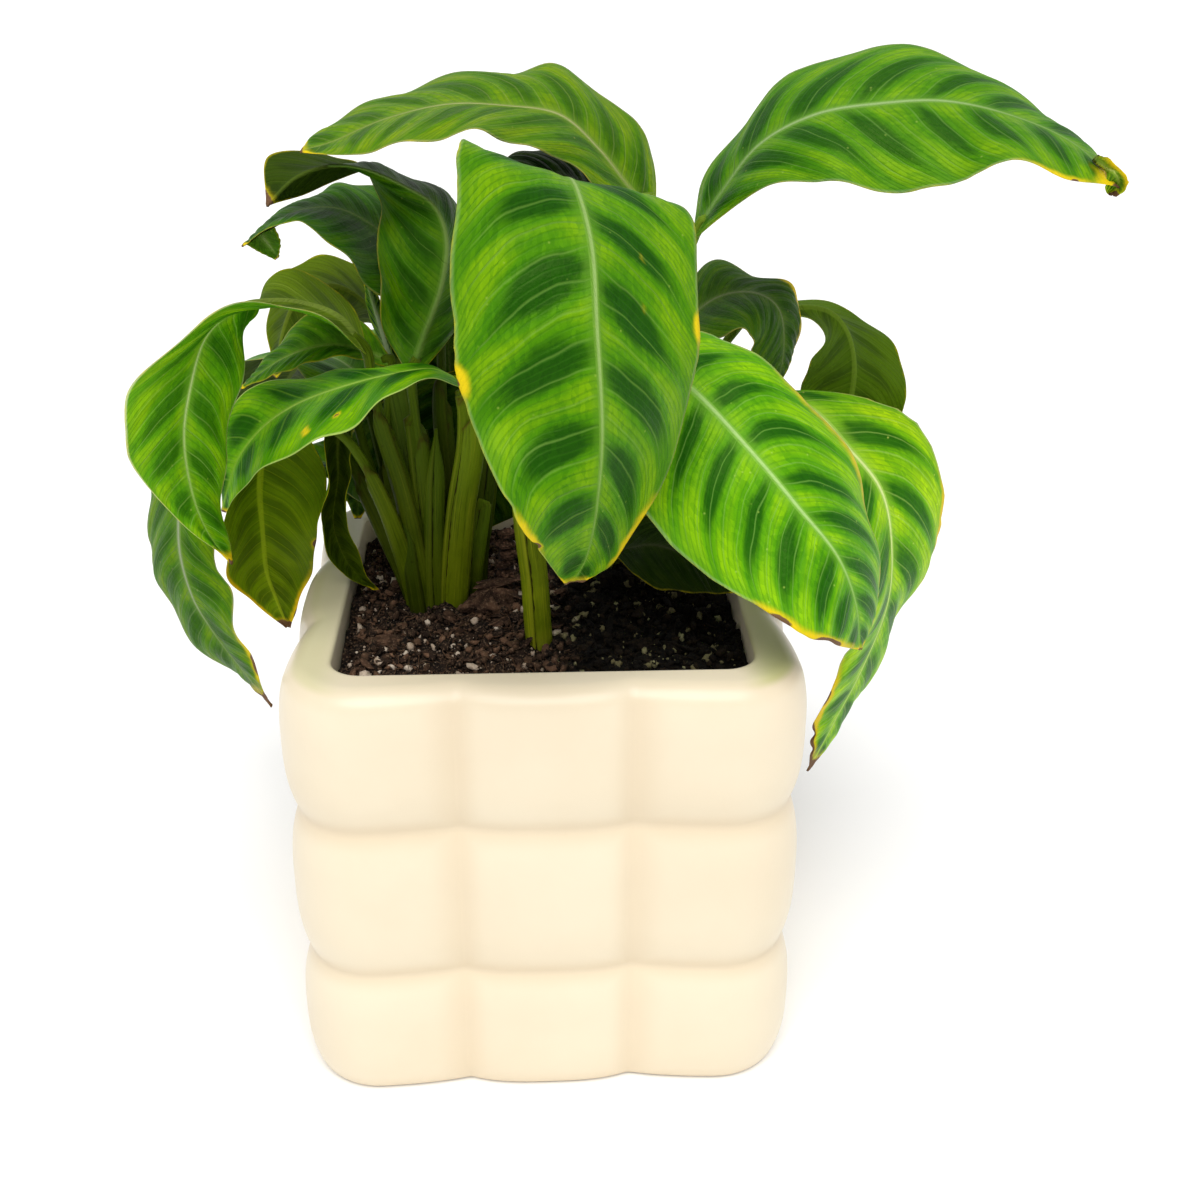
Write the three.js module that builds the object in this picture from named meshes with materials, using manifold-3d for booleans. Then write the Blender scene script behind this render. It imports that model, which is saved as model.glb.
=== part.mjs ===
// A potted zebra calathea: a cube planter with a bubble relief, potting soil, and three leafy
// shoots whose long arching leaves hang over the rim.
// Millimetres, +Z up. The origin is the centre of the pot's base and the front faces -Y.

import * as THREE from "three";
import { mergeVertices } from "three/addons/utils/BufferGeometryUtils.js";
import Module from "manifold-3d";

const wasm = await Module();
wasm.setup();

// Driving dimensions of the pot
const POT_WIDTH = 140; // over the fullest bubbles, the same both ways
const POT_HEIGHT = 128;
const COLUMN_BULGE = 3; // how far a column of bubbles stands out past its grooves
const ROW_BULGE = 3.3; // how far a row of bubbles stands out past its grooves
const COLUMN_GROOVE = 22.5; // grooves at plus and minus this on each face
const ROW_GROOVES = [40, 86.5]; // heights of the two level grooves
const PLAN_CORNER = 16;
const BUBBLE_POWER = 3; // a high power keeps the bubbles flat-topped
const OPENING_HALF = 55.5; // half the width of the opening
const OPENING_CORNER = 9;
const FLOOR_THICKNESS = 8;
const SHOULDER = 4.5; // rounding from the outside to the flat of the rim
const RIM_ROUND = 1.2; // rounding at the inner edge of the rim
const FOOT_ROUND = 1.5;
// Where the outline is sampled on one side, as distances along it from the middle of the face
const SIDE_STEPS = [0, 11, 22.5, 35, 47];

// Driving dimensions of the soil
const GAP = 0.3; // clearance between pieces that touch
const SOIL_LEVEL = 119;
const MOUND_HEIGHT = 6;
const MOUND_CENTRE = [-14, -2];
const MOUND_SPREAD = 26;
const CHIP_COUNT = 12;
const CHIP_SIZE = 3.4;

// Driving dimensions of the leaves
const BLADE_HALF_THICKNESS = 0.45;
const MIDRIB_DEPTH = 0.9; // how far the midrib stands out below the blade at its root
const BLADE_ARCH = 0.07; // how far each half arches up, as a share of its width
const WAVE_COUNT = 5; // waves along one margin
const STEM_ROOT_RADIUS = 3;
const SHEATH_RADIUS = 2.6;
const STEM_TIP_RADIUS = 1.25;
const SHEATH_SHARE = 0.46; // the sheath ends at this share of the stem
const STEM_FOOT_LEVEL = 113; // the stems stand this deep in the soil
const STEM_SIDES = 6;
const STEM_STEPS = 10;

// Where each shoot's stems meet in the soil: centre, half widths, top of the solid crown
const CROWNS = {
  main: { centre: [-28, -1], half: [13.6, 11.5], top: 123 },
  right: { centre: [13, 23], half: [13, 13.5], top: 121 },
  front: { centre: [-2, -27], half: [4.6, 4.6], top: 122 },
};

// Every leaf follows its midrib and its two margins, each a smooth curve through a few points.
// Left is the side on the left hand when looking along the midrib from above the upper face.
// The stem's points run from the soil to the blade. fine gives a long blade more steps.
const LEAVES = {
  front: {
    shoot: "front",
    fine: true,
    wave: 0.8,
    stem: [[-1, -27, 122], [-2, -26, 140], [-4, -26, 166], [-2, -23, 195]],
    rib: [[2, -28, 225], [4, -36, 238], [7, -52, 251], [11, -70, 241], [12, -81, 224],
      [13, -85, 203], [12, -83, 185], [10, -77, 170], [7, -68, 159]],
    left: [[4, -28, 225], [24, -33, 234], [32, -42, 244], [36, -52, 237], [36, -62, 221],
      [34, -66, 202], [26, -65, 177], [18, -63, 163], [10, -64, 157]],
    right: [[1, -28, 226], [-15, -27, 238], [-16, -66, 260], [-18, -75, 248], [-19, -83, 224],
      [-16, -85, 206], [-7, -97, 189], [0, -90, 175], [5, -72, 160]],
  },
  right_front: {
    shoot: "right",
    fine: true,
    wave: 0.6,
    stem: [[18, 22, 123], [25, 5, 169]],
    rib: [[30, -20, 199], [40, -32, 194], [54, -44, 181], [64, -50, 170], [74, -53, 158],
      [80, -52, 144], [83, -48, 129]],
    left: [[31, -19, 200], [42, -13, 205], [61, -23, 198], [81, -29, 176], [88, -33, 156],
      [90, -37, 139], [84, -47, 128]],
    right: [[29, -21, 198], [21, -36, 179], [27, -48, 167], [40, -54, 154], [55, -64, 148],
      [67, -66, 141], [83, -49, 129]],
  },
  right_outer: {
    shoot: "right",
    fine: true,
    wave: 0.9,
    stem: [[21, 28, 122], [41, 22, 166]],
    rib: [[55, 14, 178], [74, 8, 178], [87, 0, 167], [96, -4, 156], [100, -5, 140], [101, -3, 120],
      [96, 0, 97], [90, 3, 78], [83, 5, 58]],
    left: [[56, 15, 179], [83, 12, 180], [105, 7, 175], [117, 8, 155], [119, 10, 132],
      [110, 12, 112], [104, 13, 90], [95, 12, 72], [84, 6, 58]],
    right: [[54, 13, 177], [65, 4, 163], [72, -13, 157], [79, -19, 146], [85, -25, 137],
      [90, -19, 120], [86, -12, 103], [82, -4, 81], [83, 4, 59]],
  },
  upper_right: {
    shoot: "right",
    fine: true,
    wave: 0.9,
    stem: [[18, 25, 123], [29, 18, 176]],
    rib: [[42, 10, 224], [49, 6, 237], [58, 2, 250], [71, -3, 258], [86, -6, 261], [102, -9, 262],
      [118, -13, 259], [133, -17, 253], [145, -20, 243]],
    left: [[42, 12, 224], [45, 18, 238], [56, 21, 253], [69, 19, 266], [89, 16, 273],
      [109, 12, 270], [126, 6, 261], [139, -4, 252], [145, -19, 244]],
    right: [[42, 8, 224], [52, -6, 237], [62, -16, 244], [73, -22, 245], [86, -23, 243],
      [100, -26, 244], [112, -31, 251], [128, -29, 247], [145, -21, 243]],
  },
  upper_left: {
    shoot: "right",
    fine: true,
    wave: 1.0,
    stem: [[18, 25, 123], [29, 22, 175]],
    rib: [[31, 14, 230], [24, 11, 238], [16, 8, 248], [6, 4, 257], [-8, -2, 260], [-22, -7, 261],
      [-37, -10, 258], [-50, -12, 253], [-58, -13, 251]],
    left: [[30, 13, 230], [16, -1, 239], [8, -9, 248], [-2, -16, 252], [-12, -23, 257],
      [-23, -27, 256], [-36, -26, 254], [-46, -21, 251], [-58, -14, 251]],
    right: [[32, 15, 230], [32, 22, 243], [25, 24, 254], [9, 23, 266], [-6, 19, 267], [-27, 13, 264],
      [-42, 5, 260], [-54, -3, 255], [-58, -12, 251]],
  },
  inner_top: {
    shoot: "right",
    fine: false,
    wave: 0.5,
    stem: [[18, 25, 123], [29, 18, 176]],
    rib: [[28, 10, 216], [20, 7, 231], [11, 4, 240], [1, 0, 243], [-6, -3, 242], [-12, -5, 238]],
    left: [[27, 9, 215], [14, 4, 227], [4, 3, 233], [-4, -1, 236], [-10, -4, 236], [-12, -6, 238]],
    right: [[28, 11, 217], [21, 23, 236], [10, 20, 245], [-2, 12, 247], [-9, 4, 245], [-11, -4, 239]],
  },
  left_upright: {
    shoot: "main",
    fine: false,
    wave: 0.7,
    stem: [[-30, -5, 124], [-32, -8, 151], [-33, -10, 175]],
    rib: [[-34, -10, 193], [-30, -12, 204], [-25, -14, 217], [-23, -14, 229], [-26, -10, 237],
      [-33, -6, 241], [-43, -4, 245], [-52, -4, 246], [-61, -4, 243], [-69, -4, 236]],
    left: [[-35, -10, 193], [-41, -4, 204], [-41, -7, 219], [-41, -6, 230], [-41, 3, 236],
      [-44, 10, 241], [-50, 12, 245], [-57, 11, 247], [-69, 4, 247], [-69, -4, 237]],
    right: [[-32, -10, 193], [-22, -2, 203], [-18, 2, 214], [-18, 5, 227], [-23, 10, 237],
      [-34, 13, 239], [-42, 14, 243], [-52, 10, 240], [-62, 6, 237], [-69, -4, 236]],
  },
  left_pale_tip: {
    shoot: "main",
    fine: false,
    wave: 0.6,
    stem: [[-28, 0, 123], [-26, 1, 153], [-27, 6, 181]],
    rib: [[-27, 17, 209], [-40, 13, 224], [-51, 10, 232], [-61, 7, 233], [-68, 4, 230],
      [-77, 1, 225]],
    left: [[-27, 16, 208], [-41, 0, 211], [-49, -6, 223], [-57, -8, 231], [-64, -6, 233],
      [-77, 0, 225]],
    right: [[-27, 18, 210], [-38, 30, 231], [-52, 28, 236], [-61, 22, 233], [-70, 15, 230],
      [-77, 2, 225]],
  },
  left_large: {
    shoot: "main",
    fine: true,
    wave: 0.8,
    stem: [[-33, -6, 125], [-37, -10, 158], [-42, -12, 180], [-44, -13, 191]],
    rib: [[-45, -12, 200], [-51, -16, 210], [-59, -21, 215], [-66, -30, 218], [-72, -40, 219],
      [-79, -46, 214], [-83, -50, 203], [-86, -50, 190], [-86, -48, 175], [-84, -44, 162],
      [-80, -39, 152]],
    left: [[-45, -10, 200], [-50, -2, 211], [-61, -5, 220], [-69, -12, 219], [-71, -22, 213],
      [-73, -29, 209], [-74, -35, 199], [-78, -37, 185], [-81, -36, 171], [-81, -36, 159],
      [-80, -38, 152]],
    right: [[-45, -14, 200], [-52, -30, 213], [-59, -38, 219], [-67, -48, 222], [-76, -58, 222],
      [-85, -64, 214], [-95, -64, 204], [-96, -63, 192], [-94, -57, 180], [-87, -51, 167],
      [-80, -40, 153]],
  },
  left_lying: {
    shoot: "main",
    fine: false,
    wave: 0.7,
    stem: [[-25, -8, 125], [-22, -12, 154], [-18, -18, 178]],
    rib: [[-18, -24, 194], [-27, -26, 199], [-38, -27, 198], [-51, -28, 195], [-62, -29, 191],
      [-71, -30, 185], [-78, -30, 176], [-83, -30, 163]],
    left: [[-18, -26, 194], [-26, -40, 201], [-35, -45, 200], [-45, -47, 192], [-56, -47, 187],
      [-67, -41, 180], [-75, -36, 173], [-82, -31, 163]],
    right: [[-18, -22, 194], [-28, -19, 198], [-40, -18, 198], [-54, -17, 196], [-66, -17, 194],
      [-76, -24, 193], [-82, -26, 181], [-83, -29, 164]],
  },
  lower_left: {
    shoot: "main",
    fine: false,
    wave: 0.9,
    stem: [[-36, -5, 125], [-42, -12, 155], [-51, -14, 176], [-63, -10, 182]],
    rib: [[-75, -2, 184], [-89, -5, 176], [-97, -10, 161], [-99, -14, 147], [-96, -19, 134],
      [-90, -24, 125], [-83, -28, 116], [-75, -32, 106]],
    left: [[-74, -2, 184], [-81, -8, 172], [-88, -16, 159], [-89, -18, 145], [-84, -25, 138],
      [-82, -34, 130], [-78, -35, 120], [-75, -33, 106]],
    right: [[-77, -2, 184], [-105, -9, 176], [-110, 1, 154], [-111, -2, 139], [-107, -7, 130],
      [-100, -15, 119], [-87, -21, 111], [-75, -31, 106]],
  },
  left_olive: {
    shoot: "main",
    fine: false,
    wave: 0.8,
    stem: [[-37, -1, 124], [-46, 1, 147], [-54, 4, 165], [-61, 9, 172]],
    rib: [[-68, 18, 177], [-78, 15, 167], [-81, 12, 154], [-81, 10, 141], [-81, 10, 128],
      [-79, 11, 118], [-77, 13, 108]],
    left: [[-70, 17, 177], [-83, 0, 169], [-87, -5, 159], [-88, -6, 147], [-90, -1, 131],
      [-85, 4, 121], [-77, 12, 108]],
    right: [[-67, 19, 178], [-66, 7, 174], [-62, 15, 155], [-64, 4, 143], [-69, 18, 123],
      [-74, 17, 113], [-76, 14, 107]],
  },
  left_twisted: {
    shoot: "main",
    fine: false,
    wave: 0.3,
    stem: [[-36, 3, 123], [-44, 5, 146], [-49, 5, 166]],
    rib: [[-52, 4, 182], [-56, 3, 171], [-57, 2, 159], [-59, 1, 147], [-57, 1, 137], [-53, 1, 130],
      [-48, 1, 125]],
    left: [[-54, 4, 182], [-59, -7, 174], [-58, -10, 164], [-61, -10, 152], [-60, -8, 140],
      [-56, -4, 132], [-48, 1, 125]],
    right: [[-51, 4, 182], [-51, -7, 173], [-52, -8, 165], [-54, -9, 153], [-52, -6, 142],
      [-50, -3, 132], [-47, 1, 125]],
  },
  left_small: {
    shoot: "main",
    fine: false,
    wave: 0.4,
    stem: [[-34, -3, 125], [-40, -1, 153], [-42, 1, 174]],
    rib: [[-40, 2, 193], [-51, 2, 197], [-59, 0, 198], [-69, -2, 195], [-80, -4, 188]],
    left: [[-41, 1, 192], [-50, -4, 196], [-59, -6, 196], [-68, -9, 194], [-80, -5, 188]],
    right: [[-40, 3, 194], [-48, 4, 204], [-61, 2, 207], [-71, 6, 197], [-80, -3, 188]],
  },
  left_back_olive: {
    shoot: "main",
    fine: false,
    wave: 0.6,
    stem: [[-24, 6, 122], [-40, 11, 156], [-46, 20, 177]],
    rib: [[-40, 30, 190], [-50, 29, 203], [-58, 27, 208], [-67, 25, 205], [-72, 23, 196],
      [-75, 22, 183]],
    left: [[-40, 32, 190], [-51, 46, 208], [-62, 44, 213], [-72, 40, 209], [-78, 34, 198],
      [-76, 23, 183]],
    right: [[-40, 28, 189], [-46, 17, 199], [-53, 15, 201], [-59, 16, 199], [-65, 16, 193],
      [-75, 21, 183]],
  },
  right_back_dark: {
    shoot: "right",
    fine: false,
    wave: 0.7,
    stem: [[17, 29, 123], [29, 28, 164]],
    rib: [[40, 26, 195], [51, 25, 204], [61, 23, 206], [68, 21, 202], [70, 20, 192], [69, 20, 180]],
    left: [[40, 27, 195], [49, 40, 211], [64, 37, 208], [75, 32, 205], [76, 29, 191], [70, 21, 180]],
    right: [[40, 25, 194], [48, 10, 197], [57, 7, 200], [59, 8, 196], [61, 12, 190], [69, 19, 180]],
  },
  right_back_olive: {
    shoot: "right",
    fine: false,
    wave: 0.7,
    stem: [[19, 30, 122], [38, 27, 164]],
    rib: [[60, 41, 192], [75, 40, 197], [85, 38, 197], [91, 36, 192], [94, 35, 183], [94, 34, 172],
      [92, 33, 161], [88, 32, 149]],
    left: [[60, 39, 192], [74, 34, 196], [81, 29, 196], [82, 23, 192], [79, 23, 186], [78, 31, 176],
      [80, 32, 162], [87, 32, 149]],
    right: [[61, 43, 192], [81, 56, 196], [95, 54, 193], [104, 51, 188], [110, 44, 181],
      [110, 30, 172], [104, 29, 159], [89, 32, 149]],
  },
  soil_level: {
    shoot: "right",
    fine: false,
    wave: 0.9,
    stem: [[13, 13, 122]],
    rib: [[13, 4, 138], [22, -2, 138], [32, -8, 142], [43, -12, 139], [54, -14, 131]],
    left: [[13, 6, 138], [26, 8, 143], [39, 2, 145], [50, -4, 140], [55, -13, 131]],
    right: [[12, 2, 138], [22, -14, 140], [31, -18, 133], [42, -19, 132], [54, -15, 130]],
  },
  rolled: {
    shoot: "main",
    fine: false,
    wave: 0.1,
    stem: [[-32, -2, 124], [-35, -1, 160], [-38, 2, 179]],
    rib: [[-40, 4, 191], [-42, 6, 198], [-44, 8, 205], [-46, 9, 213]],
    left: [[-42, 4, 191], [-44, 10, 196], [-47, 12, 206], [-47, 9, 213]],
    right: [[-39, 4, 191], [-41, 10, 196], [-42, 12, 205], [-45, 9, 212]],
  },
  back_left: {
    shoot: "main",
    fine: false,
    wave: 0.9,
    stem: [[-27, 3, 122], [-30, 11, 131], [-34, 21, 135]],
    rib: [[-38, 28, 147], [-47, 38, 167], [-59, 51, 178], [-73, 66, 175], [-85, 80, 158],
      [-93, 90, 136], [-97, 96, 116]],
    left: [[-39, 27, 147], [-58, 25, 170], [-73, 37, 182], [-89, 54, 179], [-100, 70, 160],
      [-103, 84, 137], [-98, 96, 116]],
    right: [[-37, 29, 147], [-33, 47, 170], [-43, 64, 182], [-59, 81, 179], [-74, 94, 160],
      [-86, 99, 137], [-97, 97, 116]],
  },
  back_right: {
    shoot: "right",
    fine: false,
    wave: 0.9,
    stem: [[13, 27, 120], [18, 31, 130]],
    rib: [[27, 36, 140], [36, 47, 158], [48, 60, 166], [62, 76, 160], [73, 88, 144], [80, 96, 124],
      [83, 100, 108]],
    left: [[26, 37, 140], [22, 56, 161], [33, 72, 170], [49, 90, 164], [62, 101, 146],
      [74, 104, 125], [83, 101, 108]],
    right: [[28, 35, 140], [47, 35, 161], [63, 47, 170], [78, 65, 164], [87, 80, 146], [89, 91, 125],
      [84, 100, 108]],
  },
  back_centre: {
    shoot: "right",
    fine: false,
    wave: 1.0,
    stem: [[6, 26, 120], [0, 28, 145]],
    rib: [[-10, 36, 168], [-11, 50, 192], [-12, 70, 206], [-13, 92, 201], [-13, 110, 182],
      [-12, 121, 158], [-11, 127, 136]],
    left: [[-12, 36, 168], [-31, 47, 195], [-35, 69, 211], [-36, 95, 205], [-33, 114, 184],
      [-25, 124, 159], [-12, 127, 136]],
    right: [[-8, 36, 168], [9, 47, 195], [11, 69, 211], [10, 95, 205], [7, 114, 184], [1, 124, 159],
      [-10, 127, 136]],
  },
  back_low_left: {
    shoot: "main",
    fine: false,
    wave: 0.7,
    stem: [[-28, 2, 120], [-34, 8, 132]],
    rib: [[-44, 26, 138], [-57, 33, 150], [-72, 39, 150], [-86, 45, 138], [-95, 49, 122]],
    left: [[-44, 24, 138], [-61, 19, 153], [-78, 25, 153], [-92, 35, 140], [-95, 48, 122]],
    right: [[-43, 27, 138], [-51, 46, 153], [-68, 54, 153], [-84, 57, 140], [-95, 50, 122]],
  },
  back_low_right: {
    shoot: "right",
    fine: false,
    wave: 0.7,
    stem: [[13, 25, 118], [20, 23, 125]],
    rib: [[30, 22, 132], [43, 28, 142], [57, 34, 142], [71, 39, 130], [80, 43, 114]],
    left: [[29, 23, 132], [37, 40, 145], [53, 48, 145], [68, 50, 132], [80, 44, 114]],
    right: [[30, 20, 132], [47, 15, 145], [64, 21, 145], [77, 29, 132], [80, 42, 114]],
  },
  back_inner: {
    shoot: "main",
    fine: false,
    wave: 0.6,
    stem: [[-22, 6, 122], [-16, 9, 150], [-15, 11, 175]],
    rib: [[-20, 13, 188], [-24, 16, 177], [-28, 19, 164], [-31, 20, 151], [-34, 20, 138]],
    left: [[-19, 13, 188], [-8, 14, 178], [-9, 17, 164], [-17, 19, 150], [-33, 20, 138]],
    right: [[-21, 13, 188], [-34, 17, 181], [-43, 19, 168], [-45, 20, 153], [-35, 20, 138]],
  },
};

// A short cut stem and its sheath, left standing in the main shoot
const CUT_STEM = [[-20, -2, 113], [-20, -1, 128], [-16, 1, 153]];
const CUT_STEM_RADIUS = 2.6;

// An old dry stem end that stands in the soil between the shoots
const DRY_STUMP = { foot: [-10.6, -2, 117], top: [-9.6, -1, 146], radius: 3.2 };

const clamp01 = (x) => Math.min(1, Math.max(0, x));

// Small repeatable random numbers for the loose chips
function makeRandom(seed) {
  let state = seed;
  return () => {
    state = (state * 1664525 + 1013904223) % 4294967296;
    return state / 4294967296;
  };
}

// A rounded square's point and outward direction at the signed share f of one side
function squarePoint(half, corner, side, f) {
  const straight = half - corner;
  const reach = straight + (Math.PI / 4) * corner;
  const s = f * reach;
  const sign = Math.sign(s);
  let x = s;
  let y = -half;
  let nx = 0;
  let ny = -1;
  if (Math.abs(s) > straight) {
    const angle = (Math.abs(s) - straight) / corner;
    x = sign * (straight + corner * Math.sin(angle));
    y = -half + corner * (1 - Math.cos(angle));
    nx = sign * Math.sin(angle);
    ny = -Math.cos(angle);
  }
  const c = Math.cos((side * Math.PI) / 2);
  const n = Math.sin((side * Math.PI) / 2);
  return { x: c * x - n * y, y: n * x + c * y, nx: c * nx - n * ny, ny: n * nx + c * ny, s };
}

// The whole outline, anticlockwise from above, sampled at the same shares of each side whatever its size
function squareOutline(half, corner) {
  const base = POT_WIDTH / 2 - COLUMN_BULGE - ROW_BULGE;
  const reach = base - PLAN_CORNER + (Math.PI / 4) * PLAN_CORNER;
  const ahead = [...SIDE_STEPS, reach * 0.9].map((s) => s / reach);
  const behind = ahead.slice(1).reverse().map((f) => -f);
  const shares = [-1, ...behind, ...ahead];
  const points = [];
  for (let side = 0; side < 4; side += 1) {
    for (const share of shares) {
      points.push(squarePoint(half, corner, side, share));
    }
  }
  return points;
}

// Rings of points that are joined in order and closed by a fan at each end
function loft(rings, bottom, top) {
  const count = rings[0].length;
  const positions = [...bottom, ...rings.flat(2), ...top];
  const index = [];
  const at = (ring, k) => 1 + ring * count + (k % count);
  const last = rings.length - 1;
  for (let k = 0; k < count; k += 1) {
    index.push(0, at(0, k + 1), at(0, k));
    index.push(1 + rings.length * count, at(last, k), at(last, k + 1));
    for (let ring = 0; ring < last; ring += 1) {
      index.push(at(ring, k), at(ring, k + 1), at(ring + 1, k + 1));
      index.push(at(ring, k), at(ring + 1, k + 1), at(ring + 1, k));
    }
  }
  const geometry = new THREE.BufferGeometry();
  geometry.setAttribute("position", new THREE.Float32BufferAttribute(positions, 3));
  geometry.setIndex(index);
  return geometry;
}

// The bubble relief at one place on the pot: u and v are 0 on a bubble's middle and 1 in a groove
function relief(s, reach, z) {
  const across = Math.abs(s);
  const u = across <= COLUMN_GROOVE
    ? across / COLUMN_GROOVE
    : Math.abs((across - COLUMN_GROOVE) / (reach - COLUMN_GROOVE) - 1);
  const halfRow = (ROW_GROOVES[1] - ROW_GROOVES[0]) / 2;
  let middle = (ROW_GROOVES[0] + ROW_GROOVES[1]) / 2;
  if (z < ROW_GROOVES[0]) middle = ROW_GROOVES[0] - halfRow;
  if (z > ROW_GROOVES[1]) middle = ROW_GROOVES[1] + halfRow;
  const v = clamp01(Math.abs(z - middle) / halfRow);
  return COLUMN_BULGE * (1 - u ** BUBBLE_POWER) + ROW_BULGE * (1 - v ** BUBBLE_POWER);
}

function potGeometry() {
  const base = POT_WIDTH / 2 - COLUMN_BULGE - ROW_BULGE;
  const outline = squareOutline(base, PLAN_CORNER);
  const reach = base - PLAN_CORNER + (Math.PI / 4) * PLAN_CORNER;
  const rings = [];
  const outside = (z, inset) =>
    rings.push(outline.map((p) => {
      const out = relief(p.s, reach, z) - inset;
      return [p.x + p.nx * out, p.y + p.ny * out, z];
    }));
  outside(0, FOOT_ROUND);
  outside(FOOT_ROUND, 0);
  for (const z of [9, 20, 31, 36, 40, 44, 51, 63, 75, 82, 86.5, 91, 99, 110, 118]) {
    outside(z, 0);
  }
  for (const degrees of [0, 45, 90]) {
    const a = THREE.MathUtils.degToRad(degrees);
    outside(POT_HEIGHT - SHOULDER + SHOULDER * Math.sin(a), SHOULDER * (1 - Math.cos(a)));
  }
  const inside = (z, half, corner) =>
    rings.push(squareOutline(half, corner).map((p) => [p.x, p.y, z]));
  inside(POT_HEIGHT, OPENING_HALF + RIM_ROUND, OPENING_CORNER + RIM_ROUND);
  inside(POT_HEIGHT - RIM_ROUND * 0.3, OPENING_HALF + RIM_ROUND * 0.3, OPENING_CORNER);
  inside(POT_HEIGHT - RIM_ROUND, OPENING_HALF, OPENING_CORNER);
  inside(FLOOR_THICKNESS, OPENING_HALF, OPENING_CORNER);
  return loft(rings, [0, 0, 0], [0, 0, FLOOR_THICKNESS]);
}

// The soil's surface: nearly level at the wall, heaped round the stems, a little uneven
function soilHeight(x, y) {
  const dx = x - MOUND_CENTRE[0];
  const dy = y - MOUND_CENTRE[1];
  const mound = MOUND_HEIGHT * Math.exp(-(dx * dx + dy * dy) / (2 * MOUND_SPREAD ** 2));
  return SOIL_LEVEL + mound + 0.7 * Math.sin(0.33 * x + 1) * Math.cos(0.29 * y);
}

function soilGeometry() {
  const half = OPENING_HALF - GAP;
  const outline = squareOutline(half, OPENING_CORNER - GAP);
  const rings = [];
  rings.push(outline.map((p) => [p.x, p.y, FLOOR_THICKNESS + GAP]));
  for (const share of [1, 0.86, 0.68, 0.48, 0.25]) {
    rings.push(outline.map((p) => [p.x * share, p.y * share, soilHeight(p.x * share, p.y * share)]));
  }
  return loft(rings, [0, 0, FLOOR_THICKNESS + GAP], [0, 0, soilHeight(0, 0)]);
}

// A solid with shared vertices, ready to be joined and cut
function solid(geometry) {
  const bare = geometry.clone();
  bare.deleteAttribute("normal");
  bare.deleteAttribute("uv");
  const merged = mergeVertices(bare, 1e-4);
  return new wasm.Manifold(new wasm.Mesh({
    numProp: 3,
    vertProperties: new Float32Array(merged.attributes.position.array),
    triVerts: new Uint32Array(merged.index.array),
  }));
}

function toGeometry(manifold) {
  const mesh = manifold.getMesh();
  const geometry = new THREE.BufferGeometry();
  geometry.setAttribute("position", new THREE.BufferAttribute(mesh.vertProperties, 3));
  geometry.setIndex(new THREE.BufferAttribute(mesh.triVerts, 1));
  return geometry;
}

const curveThrough = (points) =>
  new THREE.CatmullRomCurve3(points.map((p) => new THREE.Vector3(...p)), false, "catmullrom", 0.5);

// A closed round tube along a curve, with its radius given along the way
function stemGeometry(curve, steps, radiusAt) {
  const frames = curve.computeFrenetFrames(steps, false);
  const rings = [];
  for (let i = 0; i <= steps; i += 1) {
    const t = i / steps;
    const centre = curve.getPointAt(t);
    const radius = radiusAt(t);
    const ring = [];
    for (let k = 0; k < STEM_SIDES; k += 1) {
      const a = (2 * Math.PI * k) / STEM_SIDES;
      const p = centre.clone()
        .addScaledVector(frames.normals[i], radius * Math.cos(a))
        .addScaledVector(frames.binormals[i], radius * Math.sin(a));
      ring.push([p.x, p.y, p.z]);
    }
    rings.push(ring);
  }
  const start = curve.getPointAt(0);
  const end = curve.getPointAt(1);
  return loft(rings, [start.x, start.y, start.z], [end.x, end.y, end.z]);
}

// The blade's middle surface: t runs along the midrib by length and q from -1 to 1 across
function bladeSurface(leaf) {
  const rib = curveThrough(leaf.rib);
  const left = curveThrough(leaf.left);
  const right = curveThrough(leaf.right);
  return (t, q) => {
    const u = rib.getUtoTmapping(clamp01(t));
    const centre = rib.getPoint(u);
    const margin = (q > 0 ? left : right).getPoint(u);
    const share = Math.abs(q);
    const across = margin.clone().sub(centre);
    const along = rib.getTangent(u);
    const up = along.clone().cross(across).multiplyScalar(q > 0 ? 1 : -1).normalize();
    const arch = BLADE_ARCH * 4 * share * (1 - share) * across.length();
    const phase = 2 * Math.PI * WAVE_COUNT * (t - 0.12 * share) + (q > 0 ? 0.9 : -0.9);
    const wave = leaf.wave * share * share * Math.sin(phase) * Math.sqrt(Math.sin(Math.PI * clamp01(t)));
    return centre.addScaledVector(across, share).addScaledVector(up, arch + wave);
  };
}

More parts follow.
